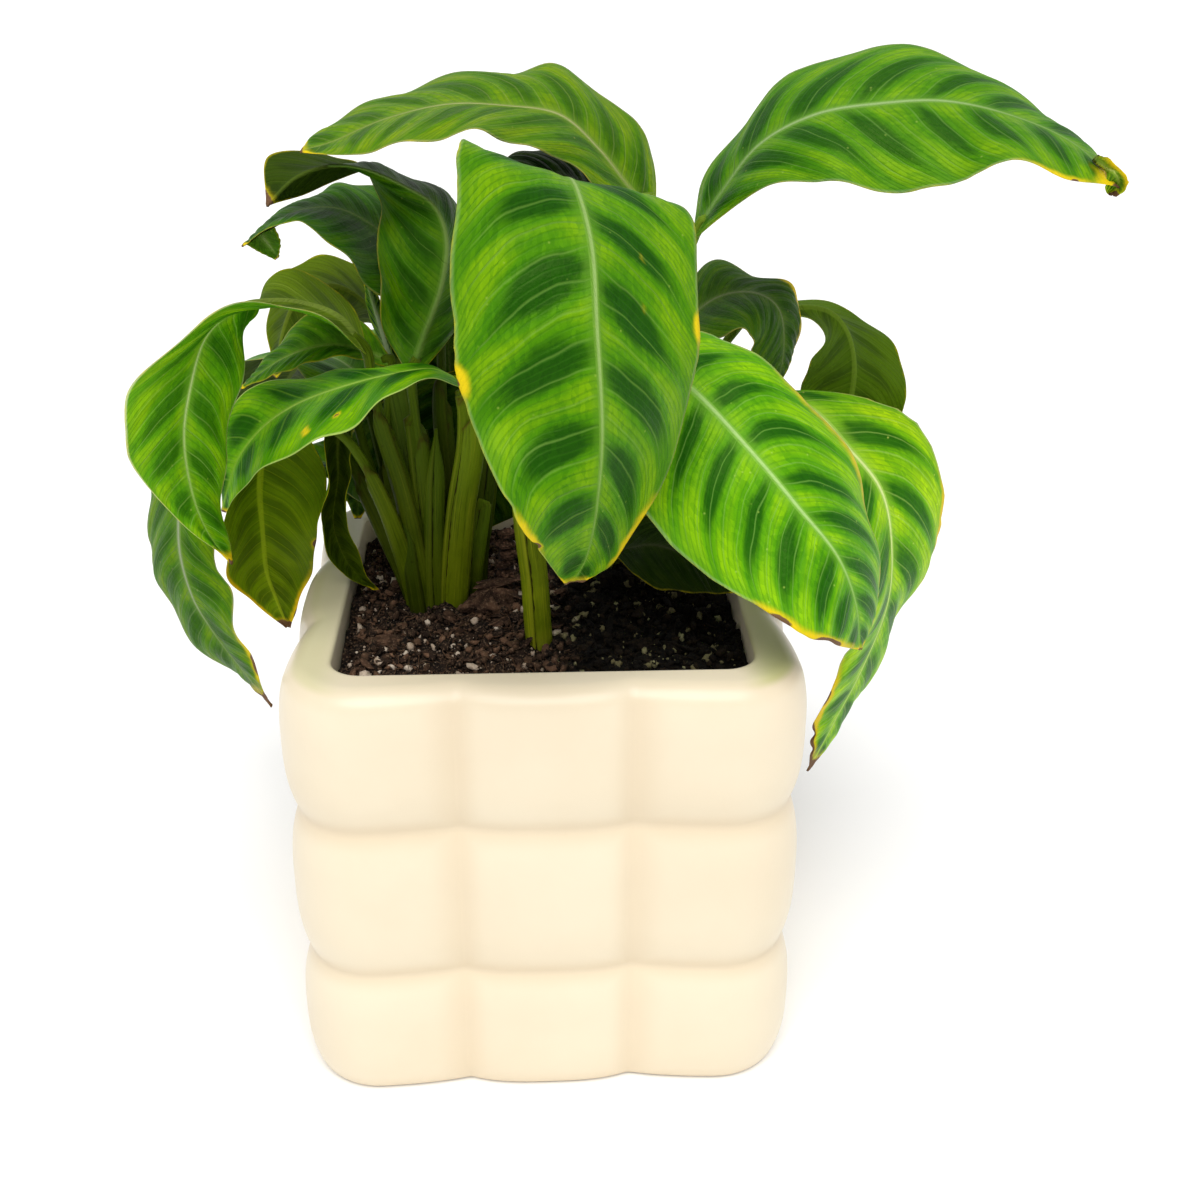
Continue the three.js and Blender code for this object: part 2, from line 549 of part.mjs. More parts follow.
// The blade as a thin solid, triangulated alike on both faces, with its midrib standing out below
function bladeGeometry(leaf) {
  const rows = leaf.fine ? 12 : 9;
  const halfColumns = leaf.fine ? 3 : 2;
  const columns = 2 * halfColumns;
  const surface = bladeSurface(leaf);
  const upper = [];
  const lower = [];
  for (let i = 0; i <= rows; i += 1) {
    for (let j = 0; j <= columns; j += 1) {
      const t = 0.002 + (0.996 * i) / rows;
      const q = (j - halfColumns) / halfColumns;
      const side = q === 0 ? 0.5 : q;
      const along = surface(t + 0.002, side).sub(surface(t - 0.002, side));
      const across = surface(t, side).sub(surface(t, side * 0.8)).multiplyScalar(Math.sign(side));
      let normal = along.cross(across).normalize();
      if (q === 0) {
        const other = surface(t + 0.002, -0.5).sub(surface(t - 0.002, -0.5));
        const spread = surface(t, -0.5).sub(surface(t, -0.4)).multiplyScalar(-1);
        normal = normal.add(other.cross(spread).normalize()).normalize();
      }
      const middle = surface(t, q);
      const rib = q === 0 ? MIDRIB_DEPTH * (1 - t) : 0;
      upper.push(middle.clone().addScaledVector(normal, BLADE_HALF_THICKNESS));
      lower.push(middle.clone().addScaledVector(normal, -BLADE_HALF_THICKNESS - rib));
    }
  }
  const positions = [...upper, ...lower].flatMap((p) => [p.x, p.y, p.z]);
  const below = upper.length;
  const index = [];
  const at = (i, j) => i * (columns + 1) + j;
  const wall = (a, b) => index.push(a, a + below, b + below, a, b + below, b);
  for (let i = 0; i < rows; i += 1) {
    for (let j = 0; j < columns; j += 1) {
      const [a, b, c, d] = [at(i, j), at(i + 1, j), at(i + 1, j + 1), at(i, j + 1)];
      index.push(a, b, c, a, c, d);
      index.push(below + a, below + c, below + b, below + a, below + d, below + c);
    }
    wall(at(i, 0), at(i + 1, 0));
    wall(at(i + 1, columns), at(i, columns));
  }
  for (let j = 0; j < columns; j += 1) {
    wall(at(0, j + 1), at(0, j));
    wall(at(rows, j), at(rows, j + 1));
  }
  const geometry = new THREE.BufferGeometry();
  geometry.setAttribute("position", new THREE.Float32BufferAttribute(positions, 3));
  geometry.setIndex(index);
  return geometry;
}

// The stem from its foot in the soil to a little way along the midrib, so that it holds the blade
function leafStem(leaf) {
  const surface = bladeSurface(leaf);
  const first = leaf.stem[0];
  const foot = [first[0], first[1], STEM_FOOT_LEVEL];
  const hold = surface(0.05, 0);
  const curve = curveThrough([foot, ...leaf.stem, leaf.rib[0], [hold.x, hold.y, hold.z]]);
  const radiusAt = (t) => {
    const sheath = THREE.MathUtils.lerp(STEM_ROOT_RADIUS, SHEATH_RADIUS, t / SHEATH_SHARE);
    const bare = THREE.MathUtils.lerp(SHEATH_RADIUS * 0.82, STEM_TIP_RADIUS, t);
    return t < SHEATH_SHARE ? sheath : bare;
  };
  return stemGeometry(curve, STEM_STEPS, radiusAt);
}

// The crown that the feet of one shoot's stems grow from
function crownGeometry(crown, grow, floor, roof) {
  const ring = (z, share) => {
    const points = [];
    for (let k = 0; k < 20; k += 1) {
      const a = (2 * Math.PI * k) / 20;
      points.push([
        crown.centre[0] + (crown.half[0] + grow) * share * Math.cos(a),
        crown.centre[1] + (crown.half[1] + grow) * share * Math.sin(a),
        z,
      ]);
    }
    return points;
  };
  const [x, y] = crown.centre;
  return loft([ring(floor, 1), ring(roof, 1)], [x, y, floor], [x, y, roof]);
}

function joinAll(solids) {
  return solids.reduce((whole, next) => whole.add(next));
}

function shootSolid(name) {
  const crown = CROWNS[name];
  const parts = [solid(crownGeometry(crown, 0, STEM_FOOT_LEVEL - 2, crown.top))];
  for (const leaf of Object.values(LEAVES)) {
    if (leaf.shoot === name) {
      parts.push(solid(leafStem(leaf)));
      parts.push(solid(bladeGeometry(leaf)));
    }
  }
  if (name === "main") {
    parts.push(solid(stemGeometry(curveThrough(CUT_STEM), 4, () => CUT_STEM_RADIUS)));
  }
  return joinAll(parts);
}

function stumpGeometry(stump, grow) {
  const curve = new THREE.LineCurve3(new THREE.Vector3(...stump.foot), new THREE.Vector3(...stump.top));
  return stemGeometry(curve, 4, (t) => stump.radius * (1 - 0.25 * t) + grow);
}

// Bark chips and grains that lie half sunk in the soil, clear of the stems and the wall
function chipSolids() {
  const random = makeRandom(7);
  const chips = [];
  while (chips.length < CHIP_COUNT) {
    const x = (2 * random() - 1) * (OPENING_HALF - 7);
    const y = (2 * random() - 1) * (OPENING_HALF - 7);
    const size = CHIP_SIZE * (0.6 + 0.8 * random());
    const turn = random() * Math.PI;
    const clear = Object.values(CROWNS).every((crown) => {
      const dx = (x - crown.centre[0]) / (crown.half[0] + 6);
      const dy = (y - crown.centre[1]) / (crown.half[1] + 6);
      return dx * dx + dy * dy > 1;
    });
    const fromStump = Math.hypot(x - DRY_STUMP.foot[0], y - DRY_STUMP.foot[1]);
    if (clear && fromStump > 10) {
      const chip = new THREE.IcosahedronGeometry(size, 0);
      chip.scale(1, 0.7, 0.45);
      chip.rotateZ(turn);
      chip.translate(x, y, soilHeight(x, y));
      chips.push(solid(chip));
    }
  }
  return chips;
}

function soilSolid() {
  let soil = joinAll([solid(soilGeometry()), ...chipSolids()]);
  for (const crown of Object.values(CROWNS)) {
    soil = soil.subtract(solid(crownGeometry(crown, GAP, STEM_FOOT_LEVEL - 2 - GAP, POT_HEIGHT + 20)));
  }
  const [x, y, z] = DRY_STUMP.foot;
  const low = { ...DRY_STUMP, foot: [x, y, z - GAP] };
  return soil.subtract(solid(stumpGeometry(low, GAP)));
}

function piece(name, geometry, color, roughness) {
  const material = new THREE.MeshStandardMaterial({ color, roughness, metalness: 0 });
  const mesh = new THREE.Mesh(geometry, material);
  mesh.name = name;
  return mesh;
}

const plant = new THREE.Group();
plant.add(piece("pot", toGeometry(solid(potGeometry())), 0xf3e6c8, 0.45));
plant.add(piece("soil", toGeometry(soilSolid()), 0x3a2a1e, 0.95));
plant.add(piece("shoot_main", toGeometry(shootSolid("main")), 0x4f8a22, 0.5));
plant.add(piece("shoot_right", toGeometry(shootSolid("right")), 0x4c8620, 0.5));
plant.add(piece("shoot_front", toGeometry(shootSolid("front")), 0x559420, 0.5));
plant.add(piece("dry_stump", toGeometry(solid(stumpGeometry(DRY_STUMP, 0))), 0x4a3523, 0.9));

export default plant;
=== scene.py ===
# %% [markdown]
# # A zebra calathea in a cream cube planter
#
# This lesson rebuilds a potted leafy plant in Blender, piece by piece. The plant's plain solids come in first
# and stay as the fixed frame. Every piece below takes the place of one of them, at the same size and spot.

# %% Load the frame
import math
import bpy
import numpy as np
from mathutils import Matrix, Vector


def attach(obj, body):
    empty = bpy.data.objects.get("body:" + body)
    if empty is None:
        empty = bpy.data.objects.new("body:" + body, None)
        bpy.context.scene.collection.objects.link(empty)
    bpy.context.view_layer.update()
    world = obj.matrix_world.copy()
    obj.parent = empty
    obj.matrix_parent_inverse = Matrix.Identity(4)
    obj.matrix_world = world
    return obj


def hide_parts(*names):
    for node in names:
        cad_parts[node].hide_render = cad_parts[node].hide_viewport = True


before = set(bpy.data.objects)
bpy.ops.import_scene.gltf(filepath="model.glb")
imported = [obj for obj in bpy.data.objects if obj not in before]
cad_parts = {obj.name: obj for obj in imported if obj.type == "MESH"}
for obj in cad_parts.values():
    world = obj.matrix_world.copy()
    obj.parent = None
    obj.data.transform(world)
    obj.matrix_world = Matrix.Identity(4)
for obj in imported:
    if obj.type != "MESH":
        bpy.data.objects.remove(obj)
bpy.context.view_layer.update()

MM = 0.001
TAU = 2 * math.pi

# %% [markdown]
# ## The camera
#
# A camera is a place, a direction and a lens. These came from the straight edges of the planter: the camera
# stands in front of the pot and above it, looks down at it, and leans by a third of a degree. The direction
# is turned into three axes by hand, because a camera looks along its own minus Z.

# %% Place the camera
CAMERA_PLACE = Vector((-2.5, -397.0, 311.0)) * MM
CAMERA_DOWN = math.radians(25.5)
CAMERA_TURN = math.radians(2.8)
CAMERA_LEAN = math.radians(0.3)
CAMERA_LENS = 45.12

look = Vector((math.sin(CAMERA_TURN) * math.cos(CAMERA_DOWN),
               math.cos(CAMERA_TURN) * math.cos(CAMERA_DOWN),
               -math.sin(CAMERA_DOWN)))
flat_right = Vector((math.cos(CAMERA_TURN), -math.sin(CAMERA_TURN), 0))
flat_up = flat_right.cross(look)
camera_right = flat_right * math.cos(CAMERA_LEAN) + flat_up * math.sin(CAMERA_LEAN)
camera_up = flat_up * math.cos(CAMERA_LEAN) - flat_right * math.sin(CAMERA_LEAN)

camera_data = bpy.data.cameras.new("camera")
camera_data.lens = CAMERA_LENS
camera_data.sensor_width = 36
camera_data.clip_start = 0.01
camera = bpy.data.objects.new("camera", camera_data)
bpy.context.scene.collection.objects.link(camera)
axes = Matrix((camera_right, camera_up, -look)).transposed().to_4x4()
camera.matrix_world = Matrix.Translation(CAMERA_PLACE) @ axes
bpy.context.scene.camera = camera
print("camera at", [round(v, 3) for v in CAMERA_PLACE], "lens", CAMERA_LENS)

# %% [markdown]
# ## Mesh helpers
#
# Every piece here is a grid of points that is worked out in numbers and then handed to Blender as one mesh.
# That suits leaves and pots better than pushing a primitive about, because a point's place on the grid also
# says where it lies on the leaf. Those places are kept as attributes, and the materials read them later.

# %% From points to a mesh object
def make_piece(name, points_mm, faces, material, values=None, uv=None):
    """A smooth mesh object with its place in the mesh; values are attributes on the points."""
    mesh = bpy.data.meshes.new(name)
    mesh.from_pydata((np.asarray(points_mm, float) * MM).tolist(), [], [list(f) for f in faces])
    for label, array in (values or {}).items():
        array = np.asarray(array, np.float32)
        kind, field = ("FLOAT_VECTOR", "vector") if array.ndim == 2 else ("FLOAT", "value")
        layer = mesh.attributes.new(label, kind, "POINT")
        layer.data.foreach_set(field, array.ravel())
    if uv is not None:
        corners = np.zeros(len(mesh.loops), np.int32)
        mesh.loops.foreach_get("vertex_index", corners)
        layer = mesh.uv_layers.new(name="surface")
        layer.data.foreach_set("uv", np.asarray(uv, np.float32)[corners].ravel())
    mesh.polygons.foreach_set("use_smooth", [True] * len(mesh.polygons))
    mesh.validate()
    mesh.materials.append(material)
    piece = bpy.data.objects.new(name, mesh)
    bpy.context.scene.collection.objects.link(piece)
    return piece


def stand_for(piece, node):
    """The piece rides on the part's one body and replaces a plain solid."""
    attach(piece, "root")
    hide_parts(node)


def ring_faces(rings, sides, first=0):
    """Quads between closed rings of points, and a fan over the last one and the first."""
    faces = []
    for i in range(rings - 1):
        for j in range(sides):
            k = (j + 1) % sides
            a, b = first + i * sides, first + (i + 1) * sides
            faces.append((a + j, a + k, b + k, b + j))
    faces.append(tuple(first + j for j in reversed(range(sides))))
    faces.append(tuple(first + (rings - 1) * sides + j for j in range(sides)))
    return faces


def smooth(low, high, value):
    """0 below low, 1 above high, with an easy slope between them."""
    share = np.clip((np.asarray(value, float) - low) / (high - low), 0, 1)
    return share * share * (3 - 2 * share)


def unit(vectors):
    return vectors / np.maximum(np.linalg.norm(vectors, axis=-1, keepdims=True), 1e-9)


# %% [markdown]
# Natural things are uneven, so a noise of our own helps: random heights on a square lattice, blended
# smoothly. The random numbers have a seed, so the piece comes out alike each time.

# %% A smooth seeded noise
def rough(x, y, spacing, seed):
    """Smooth random heights from -1 to 1, one each spacing, at the points x, y."""
    lattice = np.random.default_rng(seed).uniform(-1, 1, (97, 97))
    x, y = np.asarray(x, float) / spacing + 48, np.asarray(y, float) / spacing + 48
    i, j = np.floor(x).astype(int), np.floor(y).astype(int)
    u, v = smooth(0, 1, x - i), smooth(0, 1, y - j)
    i, j, k, l = i % 97, j % 97, (i + 1) % 97, (j + 1) % 97
    low = lattice[i, j] * (1 - u) + lattice[k, j] * u
    high = lattice[i, l] * (1 - u) + lattice[k, l] * u
    return low * (1 - v) + high * v


# %% [markdown]
# Each leaf and stalk follows a few points. A Catmull-Rom curve passes through all of them, which makes it
# easy to set down what is seen: the curve goes where the points are.

# %% A curve through points
def through(points, u):
    """The point at u on the curve through the points, where u counts the points from 0."""
    points = np.asarray(points, float)
    ends = np.vstack([2 * points[0] - points[1], points, 2 * points[-1] - points[-2]])
    u = np.clip(np.asarray(u, float), 0, len(points) - 1)
    i = np.minimum(u.astype(int), len(points) - 2)
    s = (u - i)[..., None]
    a, b, c, d = ends[i], ends[i + 1], ends[i + 2], ends[i + 3]
    return 0.5 * (2 * b + (c - a) * s + (2 * a - 5 * b + 4 * c - d) * s ** 2
                  + (3 * b - a - 3 * c + d) * s ** 3)


def by_length(points, t):
    """The curve's own parameter where the share t of its length is done, and the whole length."""
    u = np.linspace(0, len(points) - 1, 400)
    steps = np.linalg.norm(np.diff(through(points, u), axis=0), axis=1)
    done = np.concatenate([[0], np.cumsum(steps)])
    return np.interp(t, done / done[-1], u), done[-1]

# %% [markdown]
# ## Shader helpers
#
# Materials are node trees. Writing them node by node is long, so a small helper places a node, sets its
# values and joins its inputs. An effect that several materials use is a node group: it is built once,
# has named sockets, and each material gives it its own values.

# %% Small helpers for node trees
def place(tree, kind, settings=None, **inputs):
    """A node of that kind, its settings set and its inputs joined or filled."""
    node = tree.nodes.new("ShaderNode" + kind)
    for label, value in (settings or {}).items():
        setattr(node, label, value)
    for label, value in inputs.items():
        join(tree, node, label.replace("_", " "), value)
    return node


def join(tree, node, label, value):
    """Puts a number, a colour or another node's output into a node's input."""
    socket = node.inputs[int(label)] if label.isdigit() else node.inputs[label]
    if isinstance(value, bpy.types.NodeSocket):
        tree.links.new(value, socket)
    elif isinstance(value, (tuple, list)) and len(value) == 3 and socket.type == "RGBA":
        socket.default_value = (*value, 1)
    else:
        socket.default_value = value


def maths(tree, operation, a, b=0.0, c=0.0, clamp=False):
    node = tree.nodes.new("ShaderNodeMath")
    node.operation = operation
    node.use_clamp = clamp
    for i, value in enumerate((a, b, c)):
        join(tree, node, str(i), value)
    return node.outputs[0]


def blend(tree, share, a, b, way="MIX"):
    """A colour between a and b by share, or one laid over the other in that way."""
    node = tree.nodes.new("ShaderNodeMix")
    node.data_type = "RGBA"
    node.blend_type = way
    for i, value in ((0, share), (6, a), (7, b)):
        join(tree, node, str(i), value)
    return node.outputs[2]


def ramp(tree, value, low, high, start=0.0, end=1.0):
    """A value stretched from low..high to start..end, with an easy slope."""
    node = tree.nodes.new("ShaderNodeMapRange")
    node.interpolation_type = "SMOOTHSTEP"
    for i, entry in enumerate((value, low, high, start, end)):
        join(tree, node, str(i), entry)
    return node.outputs[0]


def named(tree, label, output="Fac"):
    """What the mesh keeps under that attribute name."""
    node = tree.nodes.new("ShaderNodeAttribute")
    node.attribute_name = label
    return node.outputs[output]


def group(name, inputs, outputs):
    """An empty node group with named sockets, and its two ends."""
    tree = bpy.data.node_groups.new(name, "ShaderNodeTree")
    for label, kind, value in inputs:
        socket = tree.interface.new_socket(name=label, in_out="INPUT", socket_type="NodeSocket" + kind)
        if value is not None:
            socket.default_value = value
    for label, kind in outputs:
        tree.interface.new_socket(name=label, in_out="OUTPUT", socket_type="NodeSocket" + kind)
    return tree, tree.nodes.new("NodeGroupInput").outputs, tree.nodes.new("NodeGroupOutput").inputs


def use(tree, shared, **inputs):
    """The group placed in a tree, with its inputs given; a name's spaces are written as _."""
    node = tree.nodes.new("ShaderNodeGroup")
    node.node_tree = shared
    for label, value in inputs.items():
        join(tree, node, label.replace("_", " "), value)
    return node.outputs


def new_material(name):
    """An empty material with a Principled shader on its output."""
    material = bpy.data.materials.new(name)
    material.use_nodes = True
    tree = material.node_tree
    tree.nodes.clear()
    surface = tree.nodes.new("ShaderNodeBsdfPrincipled")
    output = tree.nodes.new("ShaderNodeOutputMaterial")
    tree.links.new(surface.outputs[0], output.inputs[0])
    return material, tree, surface, output


# %% [markdown]
# Three effects come back in several materials. Mottle is the slow change of a colour from place to place
# that nothing real is without. Specks are small dots, each one present or not by chance. Grit is fine
# bump at a given size.

# %% The mottle group
def build_mottle():
    tree, given, out = group("mottle", [("Vector", "Vector", None), ("Size", "Float", 10.0),
                                        ("Low", "Float", 0.35), ("High", "Float", 0.65)],
                             [("Mask", "Float")])
    noise = place(tree, "TexNoise", Vector=given["Vector"], Detail=4.0, Roughness=0.55)
    tree.links.new(given["Size"], noise.inputs["Scale"])
    tree.links.new(ramp(tree, noise.outputs[0], given["Low"], given["High"]), out["Mask"])
    return tree


mottle_group = build_mottle()


# %% The specks group
def build_specks():
    tree, given, out = group("specks", [("Vector", "Vector", None), ("Count", "Float", 300.0),
                                        ("Radius", "Float", 0.2), ("Share", "Float", 0.2)],
                             [("Mask", "Float"), ("Chance", "Float")])
    cells = place(tree, "TexVoronoi", Vector=given["Vector"])
    tree.links.new(given["Count"], cells.inputs["Scale"])
    chance = place(tree, "SeparateColor", Color=cells.outputs["Color"]).outputs
    dot = ramp(tree, cells.outputs["Distance"], given["Radius"], 0.0)
    present = maths(tree, "LESS_THAN", chance[0], given["Share"])
    tree.links.new(maths(tree, "MULTIPLY", dot, present), out["Mask"])
    tree.links.new(chance[1], out["Chance"])
    return tree


specks_group = build_specks()


# %% The grit group
def build_grit():
    tree, given, out = group("grit", [("Vector", "Vector", None), ("Size", "Float", 800.0),
                                      ("Depth", "Float", 0.0002), ("Strength", "Float", 0.4),
                                      ("Height", "Float", 0.0)],
                             [("Normal", "Vector")])
    noise = place(tree, "TexNoise", Vector=given["Vector"], Detail=5.0, Roughness=0.6)
    tree.links.new(given["Size"], noise.inputs["Scale"])
    height = maths(tree, "ADD", noise.outputs[0], given["Height"])
    bump = place(tree, "Bump", Height=height)
    tree.links.new(given["Depth"], bump.inputs["Distance"])
    tree.links.new(given["Strength"], bump.inputs["Strength"])
    tree.links.new(bump.outputs[0], out["Normal"])
    return tree


grit_group = build_grit()
print("shared node groups:", [g.name for g in (mottle_group, specks_group, grit_group)])

# %% [markdown]
# ## The planter
#
# The pot is a cube of cast ceramic with three rows of three soft pillows on each side, a glaze with a satin
# sheen, a rounded shoulder and a plain square opening. It could be a cube with sculpted bumps. A formula is
# surer: the wall is a rounded square, and every point of it moves outwards by how far it is from the
# grooves, so the pillows run round the corners without a seam.

# %% The pot's sizes, in millimetres
POT_WIDTH = 140
POT_HEIGHT = 128
COLUMN_BULGE = 3
ROW_BULGE = 3.3
COLUMN_GROOVE = 22.5
ROW_GROOVES = (40, 86.5)
PLAN_CORNER = 16
BUBBLE_POWER = 3
OPENING_HALF = 55.5
OPENING_CORNER = 9
FLOOR_THICKNESS = 8
SHOULDER = 4.5
RIM_ROUND = 1.2
FOOT_ROUND = 1.5
BASE_HALF = POT_WIDTH / 2 - COLUMN_BULGE - ROW_BULGE


# %% The rounded square, seen from above
def square_walk(half, corner, count):
    """Points and outward directions round a rounded square, and how far each is from its side's middle."""
    straight = half - corner
    reach = straight + math.pi / 4 * corner
    along = np.linspace(-reach, reach, count, endpoint=False)
    turn = np.clip((np.abs(along) - straight) / corner, 0, None)
    sign = np.sign(along)
    x = np.where(turn > 0, sign * (straight + corner * np.sin(turn)), along)
    y = -half + corner * (1 - np.cos(turn))
    out = np.stack([sign * np.sin(turn), -np.cos(turn)], -1)
    points, outs = [], []
    for quarter in range(4):
        c, s = math.cos(quarter * math.pi / 2), math.sin(quarter * math.pi / 2)
        spin = np.array([[c, s], [-s, c]])
        points.append(np.stack([x, y], -1) @ spin)
        outs.append(out @ spin)
    return np.vstack(points), np.vstack(outs), np.tile(np.abs(along), 4), reach


# %% The relief of the pillows
def relief(along, reach, height):
    """How far the wall stands out there, and how deep in a groove it is, from 0 to 1."""
    rows = (0, *ROW_GROOVES, POT_HEIGHT)
    low = max(r for r in rows[:-1] if r <= height)
    high = rows[rows.index(low) + 1]
    v = abs(2 * (height - low) / (high - low) - 1)
    u = np.where(along < COLUMN_GROOVE, along / COLUMN_GROOVE,
                 1 - (along - COLUMN_GROOVE) / (reach - COLUMN_GROOVE))
    bulge = COLUMN_BULGE * (1 - u ** BUBBLE_POWER) + ROW_BULGE * (1 - v ** BUBBLE_POWER)
    return bulge, np.maximum(smooth(0.72, 1, u), smooth(0.72, 1, v))


def pot_rings(sides):
    """Every ring of the pot from the middle of its foot, up the outside and down the inside."""
    points, out, along, reach = square_walk(BASE_HALF, PLAN_CORNER, sides)
    inner, _, _, _ = square_walk(OPENING_HALF, OPENING_CORNER, sides)
    rings, grooves = [], []

    def add(plan, height, groove=0.0):
        rings.append(np.column_stack([plan, np.full(len(plan), height)]))
        grooves.append(np.broadcast_to(groove, len(plan)))

    foot, _ = relief(along, reach, 0)
    for share in (0.4, 0.9):
        add((points + out * foot[:, None]) * share, 0)
    for k in range(4):
        turn = k / 3 * math.pi / 2
        bulge, groove = relief(along, reach, FOOT_ROUND * (1 - math.cos(turn)))
        add(points + out * (bulge - FOOT_ROUND * (1 - math.sin(turn)))[:, None],
            FOOT_ROUND * (1 - math.cos(turn)), groove)
    for height in np.linspace(FOOT_ROUND, POT_HEIGHT - SHOULDER, 112)[1:]:
        bulge, groove = relief(along, reach, float(height))
        add(points + out * bulge[:, None], height, groove)
    for k in range(1, 9):
        turn = k / 8 * math.pi / 2
        bulge, groove = relief(along, reach, POT_HEIGHT - SHOULDER * (1 - math.sin(turn)))
        add(points + out * (bulge - SHOULDER * (1 - math.cos(turn)))[:, None],
            POT_HEIGHT - SHOULDER * (1 - math.sin(turn)), groove * (1 - k / 8))
    edge = rings[-1][:, :2]
    for share in (0.25, 0.5, 0.75, 0.92):
        add(edge + (inner * (1 + RIM_ROUND / OPENING_HALF) - edge) * share, POT_HEIGHT)
    for k in range(5):
        turn = k / 4 * math.pi / 2
        add(inner * (1 + RIM_ROUND * (1 - math.sin(turn)) / OPENING_HALF),
            POT_HEIGHT - RIM_ROUND * (1 - math.cos(turn)))
    for height in (122, 110, 90, 60, 30, FLOOR_THICKNESS + 2):
        add(inner, height)
    add(inner * 0.97, FLOOR_THICKNESS)
    add(inner * 0.4, FLOOR_THICKNESS)
    return np.array(rings), np.array(grooves)


# %% [markdown]
# The glaze is nearly one colour, so what little changes has to be right: painted shade in the grooves, a
# darker and warmer cream there, a slow mottle, a very fine orange-peel bump, and a few dark pinholes on the
# rim and the face.
# At both sides the rim looks green in the photograph, because light reaches it through the leaves. A faint
# green tint of the glaze on the flat of the rim stands in for that light.

# %% The glaze
def build_glaze():
    material, tree, surface, _ = new_material("cream_glaze")
    spot = place(tree, "TexCoord").outputs["Object"]
    groove_shade = named(tree, "groove")
    slow = use(tree, mottle_group, Vector=spot, Size=22.0, Low=0.3, High=0.7)["Mask"]
    cream = blend(tree, slow, (0.775, 0.665, 0.490), (0.800, 0.700, 0.525))
    # painted shade: the grooves are darkened to a warmer cream
    cream = blend(tree, maths(tree, "MULTIPLY", groove_shade, 0.45), cream, (0.68, 0.54, 0.36))
    holes = use(tree, specks_group, Vector=spot, Count=95.0, Radius=0.075, Share=0.035)["Mask"]
    cream = blend(tree, maths(tree, "MULTIPLY", holes, 0.75), cream, (0.16, 0.10, 0.05))
    sideways, _, height = place(tree, "SeparateXYZ", Vector=spot).outputs
    rim = ramp(tree, height, 0.1262, 0.1276)
    cast = blend(tree, 1.0, cream, (0.70, 0.80, 0.46), "MULTIPLY")
    right = maths(tree, "MULTIPLY", rim, ramp(tree, sideways, 0.049, 0.060, 0.0, 0.9))
    left = maths(tree, "MULTIPLY", rim, ramp(tree, sideways, -0.050, -0.060, 0.0, 0.4))
    cream = blend(tree, right, cream, cast)
    cream = blend(tree, left, cream, cast)
    tree.links.new(cream, surface.inputs["Base Color"])
    tree.links.new(ramp(tree, slow, 0.0, 1.0, 0.42, 0.36), surface.inputs["Roughness"])
    surface.inputs["Specular IOR Level"].default_value = 0.45
    surface.inputs["Coat Weight"].default_value = 0.18
    surface.inputs["Coat Roughness"].default_value = 0.25
    dip = maths(tree, "MULTIPLY", holes, -1.5)
    peel = use(tree, grit_group, Vector=spot, Size=260.0, Depth=0.0004, Strength=0.16, Height=dip)
    tree.links.new(peel["Normal"], surface.inputs["Normal"])
    return material


# %% Make the pot
POT_SIDES = 76
rings, grooves = pot_rings(POT_SIDES)
sides = rings.shape[1]
pot = make_piece("planter", rings.reshape(-1, 3), ring_faces(len(rings), sides), build_glaze(),
                 values={"groove": grooves.ravel()})
stand_for(pot, "pot")
print("planter:", len(pot.data.polygons), "faces, height", rings[..., 2].max(), "mm")

# %% [markdown]
# ## The leaf's skin
#
# A zebra calathea's blade is bright yellow-green with dark green feathered bands. The bands follow the side
# veins, start just off the pale midrib, are widest a third of the way out and fade before the margin.
# A texture picture could hold that, but a formula does it at any size. Each point of a blade knows its
# place along the side veins (the attribute "vein": how far along, how far out in millimetres, and the share
# of the half width), so bands are waves of the first number, and their ends are ramps of the third.

# %% The bands group
def build_bands():
    tree, given, out = group("calathea bands", [("Vein", "Vector", None), ("Period", "Float", 14.0),
                                                ("Width", "Float", 0.5)],
                             [("Dark", "Float"), ("Bright", "Float"), ("Streak", "Float")])
    parts = place(tree, "SeparateXYZ", Vector=given["Vein"]).outputs
    along, outwards, share = parts
    stretched = place(tree, "CombineXYZ", X=maths(tree, "MULTIPLY", along, 0.9),
                      Y=maths(tree, "MULTIPLY", outwards, 0.13), Z=share).outputs[0]
    streak = place(tree, "TexNoise", Vector=stretched, Scale=1.0, Detail=3.0, Roughness=0.6).outputs[0]
    slow = place(tree, "TexNoise", Vector=stretched, Scale=0.16, Detail=1.0).outputs[0]
    turns = maths(tree, "DIVIDE", along, given["Period"])
    turns = maths(tree, "ADD", turns, maths(tree, "MULTIPLY", slow, 0.5))
    wave = maths(tree, "COSINE", maths(tree, "MULTIPLY", turns, TAU))
    # the band's width at each share of the way out: closed at the rib and at the margin
    inner = ramp(tree, share, 0.02, 0.32, 0.75, -0.1)
    outer = ramp(tree, share, 0.42, 0.93, 0.0, 1.5)
    limit = maths(tree, "ADD", maths(tree, "ADD", inner, outer),
                  maths(tree, "MULTIPLY", maths(tree, "SUBTRACT", 0.5, given["Width"]), 1.5))
    rough_wave = maths(tree, "ADD", wave, maths(tree, "MULTIPLY", maths(tree, "SUBTRACT", streak, 0.5), 1.1))
    gap = maths(tree, "SUBTRACT", rough_wave, limit)
    tree.links.new(ramp(tree, gap, -0.45, 0.75), out["Dark"])
    tree.links.new(ramp(tree, gap, -0.4, -1.6), out["Bright"])
    tree.links.new(streak, out["Streak"])
    return tree


bands_group = build_bands()


